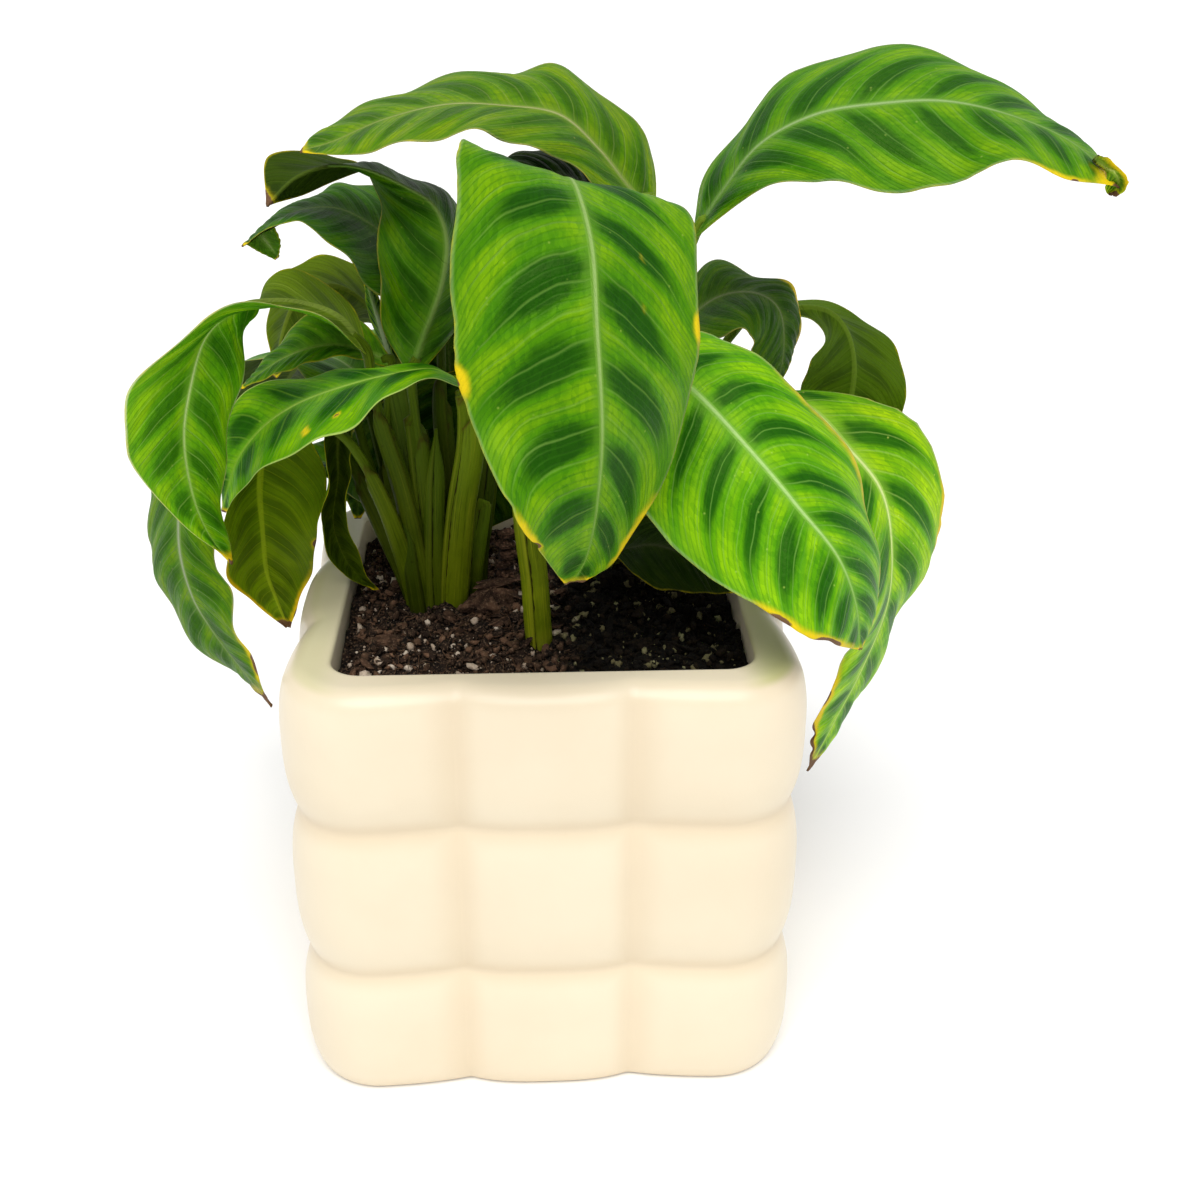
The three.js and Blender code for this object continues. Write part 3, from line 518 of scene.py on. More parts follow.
# %% The veins group
def build_veins():
    tree, given, out = group("leaf veins", [("Vein", "Vector", None), ("Fine", "Float", 1.7),
                                            ("Main", "Float", 7.0)],
                             [("Fine", "Float"), ("Main", "Float"), ("Cells", "Float")])
    along, outwards, share = place(tree, "SeparateXYZ", Vector=given["Vein"]).outputs
    wobble = place(tree, "TexNoise", Vector=given["Vein"], Scale=0.09, Detail=1.0).outputs[0]
    along = maths(tree, "ADD", along, maths(tree, "MULTIPLY", wobble, 3.0))

    def lines(spacing, width):
        turn = maths(tree, "PINGPONG", along, maths(tree, "MULTIPLY", spacing, 0.5))
        return ramp(tree, turn, maths(tree, "MULTIPLY", spacing, width), 0.0)

    fine = lines(given["Fine"], 0.22)
    main = lines(given["Main"], 0.075)
    tree.links.new(fine, out["Fine"])
    tree.links.new(maths(tree, "MULTIPLY", main, ramp(tree, share, 0.98, 0.75)), out["Main"])
    laid = place(tree, "CombineXYZ", X=maths(tree, "DIVIDE", along, given["Fine"]),
                 Y=maths(tree, "MULTIPLY", outwards, 1.05), Z=0.0).outputs[0]
    cells = place(tree, "TexVoronoi", Vector=laid, Scale=1.0, Randomness=0.7)
    tint = place(tree, "SeparateColor", Color=cells.outputs["Color"]).outputs[0]
    tree.links.new(tint, out["Cells"])
    return tree


veins_group = build_veins()

# %% [markdown]
# The upper face has the bands, the under face is a dull olive with the same bands showing through. Both are
# on one mesh: the attribute "under" is 1 on the under face. "state" keeps what age has done at each point:
# how yellow and how dry it is, and how faint the leaf's bands are. "tone" paints light and shade over the
# whole leaf and dulls the old ones. "blade" keeps the spacing of the bands, the share of the rib's length,
# and how pale the margin is.
# A leaf also lets light through, so a translucent shader is mixed in. Its colour is yellower, as light that
# has passed through a leaf is.

# %% The leaf material
def build_leaf_skin():
    material, tree, surface, output = new_material("calathea_leaf")
    vein = named(tree, "vein", "Vector")
    state = place(tree, "SeparateXYZ", Vector=named(tree, "state", "Vector")).outputs
    period, down, rim = place(tree, "SeparateXYZ", Vector=named(tree, "blade", "Vector")).outputs
    under = named(tree, "under")
    _, outwards, share = place(tree, "SeparateXYZ", Vector=vein).outputs
    bands = use(tree, bands_group, Vein=vein, Period=period, Width=0.52)
    bold = maths(tree, "SUBTRACT", 1.0, state[2])
    veins = use(tree, veins_group, Vein=vein, Fine=1.9, Main=maths(tree, "MULTIPLY", period, 0.36))
    spot = place(tree, "TexCoord").outputs["Object"]
    slow = use(tree, mottle_group, Vector=spot, Size=30.0)["Mask"]
    # upper face: three greens, the cells between the veinlets, then the veins and the midrib
    green = blend(tree, slow, (0.085, 0.330, 0.003), (0.125, 0.400, 0.003))
    green = blend(tree, maths(tree, "MULTIPLY", bands["Bright"], bold), green, (0.270, 0.560, 0.004))
    green = blend(tree, maths(tree, "MULTIPLY", bands["Dark"], bold), green, (0.014, 0.115, 0.002))
    green = blend(tree, ramp(tree, share, 0.80, 0.99, 0.0, 0.6), green, (0.13, 0.38, 0.012))
    cell = maths(tree, "MULTIPLY", maths(tree, "SUBTRACT", veins["Cells"], 0.5), 0.42)
    tone = place(tree, "CombineColor", Red=maths(tree, "ADD", 0.95, cell),
                 Green=maths(tree, "ADD", 0.97, maths(tree, "MULTIPLY", cell, 0.6)), Blue=0.9).outputs[0]
    green = blend(tree, 1.0, green, tone, "MULTIPLY")
    green = blend(tree, maths(tree, "MULTIPLY", veins["Fine"], 0.34), green, (0.040, 0.205, 0.008))
    green = blend(tree, maths(tree, "MULTIPLY", veins["Main"], 0.42), green, (0.26, 0.50, 0.09))
    breadth = maths(tree, "ADD", 0.35, maths(tree, "MULTIPLY", maths(tree, "SUBTRACT", 1.0, down), 1.15))
    from_rib = maths(tree, "DIVIDE", outwards, breadth)
    green = blend(tree, ramp(tree, from_rib, 3.6, 0.9, 0.0, 0.5), green, (0.17, 0.42, 0.03))
    green = blend(tree, ramp(tree, from_rib, 1.05, 0.75, 0.0, 0.85), green, (0.25, 0.50, 0.07))
    # the midrib is palest between the blade's base and its tip
    lengthwise = maths(tree, "MULTIPLY", ramp(tree, down, 0.06, 0.26, 0.35, 1.0),
                       ramp(tree, down, 0.9, 0.55, 0.2, 1.0))
    pale = maths(tree, "MULTIPLY", ramp(tree, from_rib, 0.62, 0.15, 0.0, 0.85), lengthwise)
    green = blend(tree, pale, green, (0.52, 0.74, 0.28))
    dots = use(tree, specks_group, Vector=spot, Count=520.0, Radius=0.24, Share=0.07)["Mask"]
    green = blend(tree, maths(tree, "MULTIPLY", dots, 0.55), green, (0.50, 0.70, 0.12))
    margin = maths(tree, "MULTIPLY", ramp(tree, share, 0.962, 0.99), rim)
    green = blend(tree, margin, green, (0.72, 0.85, 0.50))
    # under face: dull olive, the bands showing faintly through, the rib and the veins standing out
    olive = blend(tree, slow, (0.070, 0.135, 0.006), (0.110, 0.190, 0.008))
    olive = blend(tree, maths(tree, "MULTIPLY", bands["Dark"], 0.6), olive, (0.030, 0.068, 0.005))
    olive = blend(tree, maths(tree, "MULTIPLY", veins["Fine"], 0.35), olive, (0.045, 0.085, 0.005))
    olive = blend(tree, maths(tree, "MULTIPLY", veins["Main"], 0.5), olive, (0.16, 0.24, 0.03))
    olive = blend(tree, ramp(tree, from_rib, 1.3, 0.8, 0.0, 0.7), olive, (0.20, 0.29, 0.05))
    skin = blend(tree, under, green, olive)
    # each leaf's tone paints the light and shade it stands in and dulls the old ones; then age: yellow first,
    # then brown from the margin inwards
    skin = blend(tree, 1.0, skin, named(tree, "tone", "Vector"), "MULTIPLY")
    patchy = place(tree, "TexNoise", Vector=spot, Scale=260.0, Detail=3.0).outputs[0]
    aged = maths(tree, "ADD", state[0], maths(tree, "MULTIPLY", maths(tree, "SUBTRACT", patchy, 0.5), 0.5))
    skin = blend(tree, ramp(tree, aged, 0.25, 0.85), skin, (0.80, 0.64, 0.012))
    brown = maths(tree, "ADD", state[1], maths(tree, "MULTIPLY", maths(tree, "SUBTRACT", patchy, 0.5), 0.9))
    dry = ramp(tree, brown, 0.42, 0.62)
    husk = blend(tree, patchy, (0.11, 0.045, 0.022), (0.26, 0.15, 0.09))
    skin = blend(tree, dry, skin, husk)
    tree.links.new(skin, surface.inputs["Base Color"])
    sheen = maths(tree, "ADD", ramp(tree, bands["Streak"], 0.3, 0.7, 0.34, 0.44),
                  maths(tree, "MULTIPLY", maths(tree, "MAXIMUM", dry, under), 0.22))
    tree.links.new(sheen, surface.inputs["Roughness"])
    surface.inputs["Specular IOR Level"].default_value = 0.20
    surface.inputs["Specular Tint"].default_value = (0.75, 1.0, 0.30, 1)
    relief_height = maths(tree, "ADD", maths(tree, "MULTIPLY", veins["Fine"], -0.35),
                          maths(tree, "MULTIPLY", veins["Main"], -0.5))
    relief_height = maths(tree, "ADD", relief_height, maths(tree, "MULTIPLY", veins["Cells"], 0.12))
    bump = use(tree, grit_group, Vector=spot, Size=900.0, Depth=0.00030, Strength=0.6, Height=relief_height)
    tree.links.new(bump["Normal"], surface.inputs["Normal"])
    glow = tree.nodes.new("ShaderNodeBsdfTranslucent")
    tree.links.new(blend(tree, 1.0, skin, (1.6, 1.35, 0.6), "MULTIPLY"), glow.inputs["Color"])
    tree.links.new(bump["Normal"], glow.inputs["Normal"])
    mixed = tree.nodes.new("ShaderNodeMixShader")
    mixed.inputs[0].default_value = 0.22
    tree.links.new(surface.outputs[0], mixed.inputs[1])
    tree.links.new(glow.outputs[0], mixed.inputs[2])
    tree.links.new(mixed.outputs[0], output.inputs[0])
    return material


leaf_skin = build_leaf_skin()
print("leaf material:", len(leaf_skin.node_tree.nodes), "nodes")

# %% [markdown]
# ## The leaf table
#
# Each leaf is three curves: its midrib and its two margins, in whole millimetres, from the blade's base to
# its tip. Left is the left hand of someone who stands on the upper face and looks towards the tip. The
# stem's points run from the soil to the blade. The curves are the ones that the plain solids follow, so each
# leaf here lies where its solid does. Only back_inner, which is hidden, is wider and a little longer, and the
# point at the top of the front leaf is 2 mm higher.
#
# Wave is how far the margin waves. Some leaves say more. Marks are places that age has turned yellow or
# dry: the kind, how far along, which margin (1 left, -1 right, 0 both), how long, how deep and how strong. A
# spot gives its place along and across, its radius, how brown its middle is and how strong it is. Nicks are
# small bites out of a margin. Slant is how much the side veins lean forwards on each half, arch how much a
# half bows up, swing how far the margin wanders, torn how ragged it is, edge how yellow it is and rim how
# pale it is. Faint is how much the bands fade, and period how far apart they are in millimetres.

# %% The leaves
LEAVES = {
    "front": dict(
        shoot="front",
        wave=0.8,
        marks=[("yellow", .60, -1, .035, 4.5, 1.25), ("dry", .605, -1, .010, 1.2, .95),
            ("yellow", .54, 1, .032, 3.5, 1.1), ("yellow", .84, -1, .07, 5, .85),
            ("yellow", .86, 1, .09, 7, .95), ("dry", .87, -1, .010, 2.4, 1.1),
            ("spot", .42, .42, 1.6, .2, .9), ("spot", .50, .48, 2.2, 0, .6)],
        nicks=[(.87, -1, .008, .06), (.78, -1, .012, .03), (.95, 1, .012, .08)],
        slant=(.68, .32), arch=0,
        stem=[[-1, -27, 122], [-2, -26, 140], [-4, -26, 166], [-2, -23, 195]],
        rib=[[2, -28, 225], [4, -36, 238], [7, -52, 251], [11, -70, 241], [12, -81, 224],
            [13, -85, 203], [12, -83, 185], [10, -77, 170], [7, -68, 159]],
        left=[[4, -28, 225], [24, -33, 234], [32, -42, 244], [36, -52, 237], [36, -62, 221],
            [34, -66, 202], [26, -65, 177], [18, -63, 163], [10, -64, 157]],
        right=[[1, -28, 226], [-15, -27, 238], [-16, -66, 262], [-18, -75, 248], [-19, -83, 224],
            [-16, -85, 206], [-7, -97, 189], [0, -90, 175], [5, -72, 160]],
    ),
    "right_front": dict(
        shoot="right",
        wave=0.6,
        marks=[("yellow", .74, -1, .10, 4, 1.0), ("dry", .74, -1, .035, 2.6, 1.05),
            ("dry", .885, -1, .045, 4.2, 1.15), ("yellow", .88, -1, .10, 6, 1.2),
            ("yellow", .55, 1, .25, 5, .7), ("yellow", .86, 1, .12, 5, .85),
            ("dry", .63, 1, .02, 1.2, .9)],
        nicks=[(.885, -1, .03, .10)],
        stem=[[18, 22, 123], [25, 5, 169]],
        rib=[[30, -20, 199], [40, -32, 194], [54, -44, 181], [64, -50, 170], [74, -53, 158],
            [80, -52, 144], [83, -48, 129]],
        left=[[31, -19, 200], [42, -13, 205], [61, -23, 198], [81, -29, 176], [88, -33, 156],
            [90, -37, 139], [84, -47, 128]],
        right=[[29, -21, 198], [21, -36, 179], [27, -48, 167], [40, -54, 154], [55, -64, 148],
            [67, -66, 141], [83, -49, 129]],
    ),
    "right_outer": dict(
        shoot="right",
        wave=0.9,
        marks=[("dry", .47, 1, .022, 2.2, 1.1), ("yellow", .44, 1, .12, 4, 1.1),
            ("dry", .92, -1, .06, 3.0, 1.1), ("yellow", .86, -1, .16, 4.5, 1.2),
            ("dry", .80, -1, .03, 1.4, .9), ("dry", 1, 0, .045, 40, 1.1)],
        nicks=[(.47, 1, .02, .05), (.90, -1, .012, .25), (.94, -1, .01, .3)], torn=1,
        stem=[[21, 28, 122], [41, 22, 166]],
        rib=[[55, 14, 178], [74, 8, 178], [87, 0, 167], [96, -4, 156], [100, -5, 140],
            [101, -3, 120], [96, 0, 97], [90, 3, 78], [83, 5, 58]],
        left=[[56, 15, 179], [83, 12, 180], [105, 7, 175], [117, 8, 155], [119, 10, 132],
            [110, 12, 112], [104, 13, 90], [95, 12, 72], [84, 6, 58]],
        right=[[54, 13, 177], [65, 4, 163], [72, -13, 157], [79, -19, 146], [85, -25, 137],
            [90, -19, 120], [86, -12, 103], [82, -4, 81], [83, 4, 59]],
    ),
    "upper_right": dict(
        shoot="right",
        wave=0.9,
        marks=[("yellow", 1, 0, .07, 40, 1.1), ("dry", 1, 0, .02, 40, 1.1),
            ("yellow", .87, -1, .10, 2.6, .9), ("dry", .90, -1, .012, 1.2, .9)],
        slant=(.72, .72), faint=.12,
        stem=[[18, 25, 123], [29, 18, 176]],
        rib=[[42, 10, 224], [49, 6, 237], [58, 2, 250], [71, -3, 258], [86, -6, 261],
            [102, -9, 262], [118, -13, 259], [133, -17, 253], [145, -20, 243]],
        left=[[42, 12, 224], [45, 18, 238], [56, 21, 253], [69, 19, 266], [89, 16, 273],
            [109, 12, 270], [126, 6, 261], [139, -4, 252], [145, -19, 244]],
        right=[[42, 8, 224], [52, -6, 237], [62, -16, 244], [73, -22, 245], [86, -23, 243],
            [100, -26, 244], [112, -31, 251], [128, -29, 247], [145, -21, 243]],
    ),
    "upper_left": dict(
        shoot="right",
        wave=1.0,
        marks=[("yellow", 1, 0, .03, 20, .7)],
        swing=.09, faint=.4,
        stem=[[18, 25, 123], [29, 22, 175]],
        rib=[[31, 14, 230], [24, 11, 238], [16, 8, 248], [6, 4, 257], [-8, -2, 260],
            [-22, -7, 261], [-37, -10, 258], [-50, -12, 253], [-58, -13, 251]],
        left=[[30, 13, 230], [16, -1, 239], [8, -9, 248], [-2, -16, 252], [-12, -23, 257],
            [-23, -27, 256], [-36, -26, 254], [-46, -21, 251], [-58, -14, 251]],
        right=[[32, 15, 230], [32, 22, 243], [25, 24, 254], [9, 23, 266], [-6, 19, 267],
            [-27, 13, 264], [-42, 5, 260], [-54, -3, 255], [-58, -12, 251]],
    ),
    "inner_top": dict(
        shoot="right",
        wave=0.5,
        stem=[[18, 25, 123], [29, 18, 176]],
        rib=[[28, 10, 216], [20, 7, 231], [11, 4, 240], [1, 0, 243], [-6, -3, 242],
            [-12, -5, 238]],
        left=[[27, 9, 215], [14, 4, 227], [4, 3, 233], [-4, -1, 236], [-10, -4, 236],
            [-12, -6, 238]],
        right=[[28, 11, 217], [21, 23, 236], [10, 20, 245], [-2, 12, 247], [-9, 4, 245],
            [-11, -4, 239]],
    ),
    "left_upright": dict(
        shoot="main",
        wave=0.7,
        marks=[("dry", 1, 0, .030, 40, 1.1)],
        edge=.9, faint=.3,
        stem=[[-30, -5, 124], [-32, -8, 151], [-33, -10, 175]],
        rib=[[-34, -10, 193], [-30, -12, 204], [-25, -14, 217], [-23, -14, 229],
            [-26, -10, 237], [-33, -6, 241], [-43, -4, 245], [-52, -4, 246], [-61, -4, 243],
            [-69, -4, 236]],
        left=[[-35, -10, 193], [-41, -4, 204], [-41, -7, 219], [-41, -6, 230], [-41, 3, 236],
            [-44, 10, 241], [-50, 12, 245], [-57, 11, 247], [-69, 4, 247], [-69, -4, 237]],
        right=[[-32, -10, 193], [-22, -2, 203], [-18, 2, 214], [-18, 5, 227], [-23, 10, 237],
            [-34, 13, 239], [-42, 14, 243], [-52, 10, 240], [-62, 6, 237], [-69, -4, 236]],
    ),
    "left_pale_tip": dict(
        shoot="main",
        wave=0.6,
        rim=.6, faint=.45,
        stem=[[-28, 0, 123], [-26, 1, 153], [-27, 6, 181]],
        rib=[[-27, 17, 209], [-40, 13, 224], [-51, 10, 232], [-61, 7, 233], [-68, 4, 230],
            [-77, 1, 225]],
        left=[[-27, 16, 208], [-41, 0, 211], [-49, -6, 223], [-57, -8, 231], [-64, -6, 233],
            [-77, 0, 225]],
        right=[[-27, 18, 210], [-38, 30, 231], [-52, 28, 236], [-61, 22, 233], [-70, 15, 230],
            [-77, 2, 225]],
    ),
    "left_large": dict(
        shoot="main",
        wave=0.8,
        marks=[("yellow", 1, 0, .045, 40, 1.0), ("dry", 1, 0, .012, 40, 1.0)],
        rim=.6, faint=.3,
        stem=[[-33, -6, 125], [-37, -10, 158], [-42, -12, 180], [-44, -13, 191]],
        rib=[[-45, -12, 200], [-51, -16, 210], [-59, -21, 215], [-66, -30, 218],
            [-72, -40, 219], [-79, -46, 214], [-83, -50, 203], [-86, -50, 190],
            [-86, -48, 175], [-84, -44, 162], [-80, -39, 152]],
        left=[[-45, -10, 200], [-50, -2, 211], [-61, -5, 220], [-69, -12, 219], [-71, -22, 213],
            [-73, -29, 209], [-74, -35, 199], [-78, -37, 185], [-81, -36, 171],
            [-81, -36, 159], [-80, -38, 152]],
        right=[[-45, -14, 200], [-52, -30, 213], [-59, -38, 219], [-67, -48, 222],
            [-76, -58, 222], [-85, -64, 214], [-95, -64, 204], [-96, -63, 192],
            [-94, -57, 180], [-87, -51, 167], [-80, -40, 153]],
    ),
    "left_lying": dict(
        shoot="main",
        wave=0.7,
        marks=[("spot", .56, .76, 1.6, .9, 1.1), ("spot", .46, .72, 1.2, .8, 1.0)],
        rim=.75, edge=.3, period=17,
        stem=[[-25, -8, 125], [-22, -12, 154], [-18, -18, 178]],
        rib=[[-18, -24, 194], [-27, -26, 199], [-38, -27, 198], [-51, -28, 195],
            [-62, -29, 191], [-71, -30, 185], [-78, -30, 176], [-83, -30, 163]],
        left=[[-18, -26, 194], [-26, -40, 201], [-35, -45, 200], [-45, -47, 192],
            [-56, -47, 187], [-67, -41, 180], [-75, -36, 173], [-82, -31, 163]],
        right=[[-18, -22, 194], [-28, -19, 198], [-40, -18, 198], [-54, -17, 196],
            [-66, -17, 194], [-76, -24, 193], [-82, -26, 181], [-83, -29, 164]],
    ),
    "lower_left": dict(
        shoot="main",
        wave=0.9,
        marks=[("dry", 1, 0, .06, 40, 1.1), ("dry", .86, 1, .04, 2, .9), ("yellow", .84, 1, .14, 3, .8)],
        torn=.6, faint=.35,
        stem=[[-36, -5, 125], [-42, -12, 155], [-51, -14, 176], [-63, -10, 182]],
        rib=[[-75, -2, 184], [-89, -5, 176], [-97, -10, 161], [-99, -14, 147], [-96, -19, 134],
            [-90, -24, 125], [-83, -28, 116], [-75, -32, 106]],
        left=[[-74, -2, 184], [-81, -8, 172], [-88, -16, 159], [-89, -18, 145], [-84, -25, 138],
            [-82, -34, 130], [-78, -35, 120], [-75, -33, 106]],
        right=[[-77, -2, 184], [-105, -9, 176], [-110, 1, 154], [-111, -2, 139], [-107, -7, 130],
            [-100, -15, 119], [-87, -21, 111], [-75, -31, 106]],
    ),
    "left_olive": dict(
        shoot="main",
        wave=0.8,
        marks=[("yellow", .82, 1, .26, 3.2, .95), ("yellow", .87, -1, .24, 3.2, .95),
            ("dry", .985, 0, .03, 12, 1.0), ("dry", .60, -1, .02, 2, 1.1),
            ("dry", .9, -1, .05, 1.0, .9)],
        faint=.35,
        stem=[[-37, -1, 124], [-46, 1, 147], [-54, 4, 165], [-61, 9, 172]],
        rib=[[-68, 18, 177], [-78, 15, 167], [-81, 12, 154], [-81, 10, 141], [-81, 10, 128],
            [-79, 11, 118], [-77, 13, 108]],
        left=[[-70, 17, 177], [-83, 0, 169], [-87, -5, 159], [-88, -6, 147], [-90, -1, 131],
            [-85, 4, 121], [-77, 12, 108]],
        right=[[-67, 19, 178], [-66, 7, 174], [-62, 15, 155], [-64, 4, 143], [-69, 18, 123],
            [-74, 17, 113], [-76, 14, 107]],
    ),
    "left_twisted": dict(
        shoot="main",
        wave=0.3,
        stem=[[-36, 3, 123], [-44, 5, 146], [-49, 5, 166]],
        rib=[[-52, 4, 182], [-56, 3, 171], [-57, 2, 159], [-59, 1, 147], [-57, 1, 137],
            [-53, 1, 130], [-48, 1, 125]],
        left=[[-54, 4, 182], [-59, -7, 174], [-58, -10, 164], [-61, -10, 152], [-60, -8, 140],
            [-56, -4, 132], [-48, 1, 125]],
        right=[[-51, 4, 182], [-51, -7, 173], [-52, -8, 165], [-54, -9, 153], [-52, -6, 142],
            [-50, -3, 132], [-47, 1, 125]],
    ),
    "left_small": dict(
        shoot="main",
        wave=0.4,
        faint=.4,
        stem=[[-34, -3, 125], [-40, -1, 153], [-42, 1, 174]],
        rib=[[-40, 2, 193], [-51, 2, 197], [-59, 0, 198], [-69, -2, 195], [-80, -4, 188]],
        left=[[-41, 1, 192], [-50, -4, 196], [-59, -6, 196], [-68, -9, 194], [-80, -5, 188]],
        right=[[-40, 3, 194], [-48, 4, 204], [-61, 2, 207], [-71, 6, 197], [-80, -3, 188]],
    ),
    "left_back_olive": dict(
        shoot="main",
        wave=0.6,
        faint=.2,
        stem=[[-24, 6, 122], [-40, 11, 156], [-46, 20, 177]],
        rib=[[-40, 30, 190], [-50, 29, 203], [-58, 27, 208], [-67, 25, 205], [-72, 23, 196],
            [-75, 22, 183]],
        left=[[-40, 32, 190], [-51, 46, 208], [-62, 44, 213], [-72, 40, 209], [-78, 34, 198],
            [-76, 23, 183]],
        right=[[-40, 28, 189], [-46, 17, 199], [-53, 15, 201], [-59, 16, 199], [-65, 16, 193],
            [-75, 21, 183]],
    ),
    "right_back_dark": dict(
        shoot="right",
        wave=0.7,
        marks=[("yellow", .72, 1, .25, 4, 1.2), ("dry", .82, 1, .05, 1.6, .9)],
        faint=.5,
        stem=[[17, 29, 123], [29, 28, 164]],
        rib=[[40, 26, 195], [51, 25, 204], [61, 23, 206], [68, 21, 202], [70, 20, 192],
            [69, 20, 180]],
        left=[[40, 27, 195], [49, 40, 211], [64, 37, 208], [75, 32, 205], [76, 29, 191],
            [70, 21, 180]],
        right=[[40, 25, 194], [48, 10, 197], [57, 7, 200], [59, 8, 196], [61, 12, 190],
            [69, 19, 180]],
    ),
    "right_back_olive": dict(
        shoot="right",
        wave=0.7,
        stem=[[19, 30, 122], [38, 27, 164]],
        rib=[[60, 41, 192], [75, 40, 197], [85, 38, 197], [91, 36, 192], [94, 35, 183],
            [94, 34, 172], [92, 33, 161], [88, 32, 149]],
        left=[[60, 39, 192], [74, 34, 196], [81, 29, 196], [82, 23, 192], [79, 23, 186],
            [78, 31, 176], [80, 32, 162], [87, 32, 149]],
        right=[[61, 43, 192], [81, 56, 196], [95, 54, 193], [104, 51, 188], [110, 44, 181],
            [110, 30, 172], [104, 29, 159], [89, 32, 149]],
    ),
    "soil_level": dict(
        shoot="right",
        wave=0.9,
        swing=.12, faint=.6,
        stem=[[13, 13, 122]],
        rib=[[13, 4, 138], [22, -2, 138], [32, -8, 142], [43, -12, 139], [54, -14, 131]],
        left=[[13, 6, 138], [26, 8, 143], [39, 2, 145], [50, -4, 140], [55, -13, 131]],
        right=[[12, 2, 138], [22, -14, 140], [31, -18, 133], [42, -19, 132], [54, -15, 130]],
    ),
    "rolled": dict(
        shoot="main",
        wave=0.1,
        stem=[[-32, -2, 124], [-35, -1, 160], [-38, 2, 179]],
        rib=[[-40, 4, 191], [-42, 6, 198], [-44, 8, 205], [-46, 9, 213]],
        left=[[-42, 4, 191], [-44, 10, 196], [-47, 12, 206], [-47, 9, 213]],
        right=[[-39, 4, 191], [-41, 10, 196], [-42, 12, 205], [-45, 9, 212]],
    ),
    "back_left": dict(
        shoot="main",
        wave=0.9,
        stem=[[-27, 3, 122], [-30, 11, 131], [-34, 21, 135]],
        rib=[[-38, 28, 147], [-47, 38, 167], [-59, 51, 178], [-73, 66, 175], [-85, 80, 158],
            [-93, 90, 136], [-97, 96, 116]],
        left=[[-39, 27, 147], [-58, 25, 170], [-73, 37, 182], [-89, 54, 179], [-100, 70, 160],
            [-103, 84, 137], [-98, 96, 116]],
        right=[[-37, 29, 147], [-33, 47, 170], [-43, 64, 182], [-59, 81, 179], [-74, 94, 160],
            [-86, 99, 137], [-97, 97, 116]],
    ),
    "back_right": dict(
        shoot="right",
        wave=0.9,
        stem=[[13, 27, 120], [18, 31, 130]],
        rib=[[27, 36, 140], [36, 47, 158], [48, 60, 166], [62, 76, 160], [73, 88, 144],
            [80, 96, 124], [83, 100, 108]],
        left=[[26, 37, 140], [22, 56, 161], [33, 72, 170], [49, 90, 164], [62, 101, 146],
            [74, 104, 125], [83, 101, 108]],
        right=[[28, 35, 140], [47, 35, 161], [63, 47, 170], [78, 65, 164], [87, 80, 146],
            [89, 91, 125], [84, 100, 108]],
    ),
    "back_centre": dict(
        shoot="right",
        wave=1.0,
        stem=[[6, 26, 120], [0, 28, 145]],
        rib=[[-10, 36, 168], [-11, 50, 192], [-12, 70, 206], [-13, 92, 201], [-13, 110, 182],
            [-12, 121, 158], [-11, 127, 136]],
        left=[[-12, 36, 168], [-31, 47, 195], [-35, 69, 211], [-36, 95, 205], [-33, 114, 184],
            [-25, 124, 159], [-12, 127, 136]],
        right=[[-8, 36, 168], [9, 47, 195], [11, 69, 211], [10, 95, 205], [7, 114, 184],
            [1, 124, 159], [-10, 127, 136]],
    ),
    "back_low_left": dict(
        shoot="main",
        wave=0.7,
        stem=[[-28, 2, 120], [-34, 8, 132]],
        rib=[[-44, 26, 138], [-57, 33, 150], [-72, 39, 150], [-86, 45, 138], [-95, 49, 122]],
        left=[[-44, 24, 138], [-61, 19, 153], [-78, 25, 153], [-92, 35, 140], [-95, 48, 122]],
        right=[[-43, 27, 138], [-51, 46, 153], [-68, 54, 153], [-84, 57, 140], [-95, 50, 122]],
    ),
    "back_low_right": dict(
        shoot="right",
        wave=0.7,
        stem=[[13, 25, 118], [20, 23, 125]],
        rib=[[30, 22, 132], [43, 28, 142], [57, 34, 142], [71, 39, 130], [80, 43, 114]],
        left=[[29, 23, 132], [37, 40, 145], [53, 48, 145], [68, 50, 132], [80, 44, 114]],
        right=[[30, 20, 132], [47, 15, 145], [64, 21, 145], [77, 29, 132], [80, 42, 114]],
    ),
    "back_inner": dict(
        shoot="main",
        wave=0.6,
        stem=[[-22, 6, 122], [-16, 9, 150], [-15, 11, 175]],
        rib=[[-20, 13, 188], [-22, 16, 177], [-24, 19, 163], [-25, 20, 149], [-26, 20, 132]],
        left=[[-19, 13, 188], [-2, 14, 178], [1, 17, 162], [-3, 19, 144], [-25, 20, 132]],
        right=[[-21, 13, 188], [-38, 17, 181], [-54, 19, 168], [-59, 20, 150], [-27, 20, 132]],
    ),
}
print("leaves in the table:", len(LEAVES))

# %% [markdown]
# ## From three curves to a blade
#
# The sheet between the curves is not flat. It arches between the midrib and each margin, waves along the
# margin, is quilted between its side veins, and is uneven all over. It is made as a thin closed shell, with
# an upper and an under face a third of a millimetre apart, because a real leaf has two faces of different
# colours and the solid has to be whole. The rows of the grid slant forwards like the side veins do.

# %% The blade's grid
BLADE_ARCH = 0.07
WAVE_COUNT = 5
BLADE_HALF_THICKNESS = 0.17
ROWS = 120
SHARES = np.array([0, .025, .06, .11, .18, .27, .36, .45, .54, .63, .72, .80, .87, .93, .97, 1.0])
QUILT = 0.16
UNEVEN = 0.55


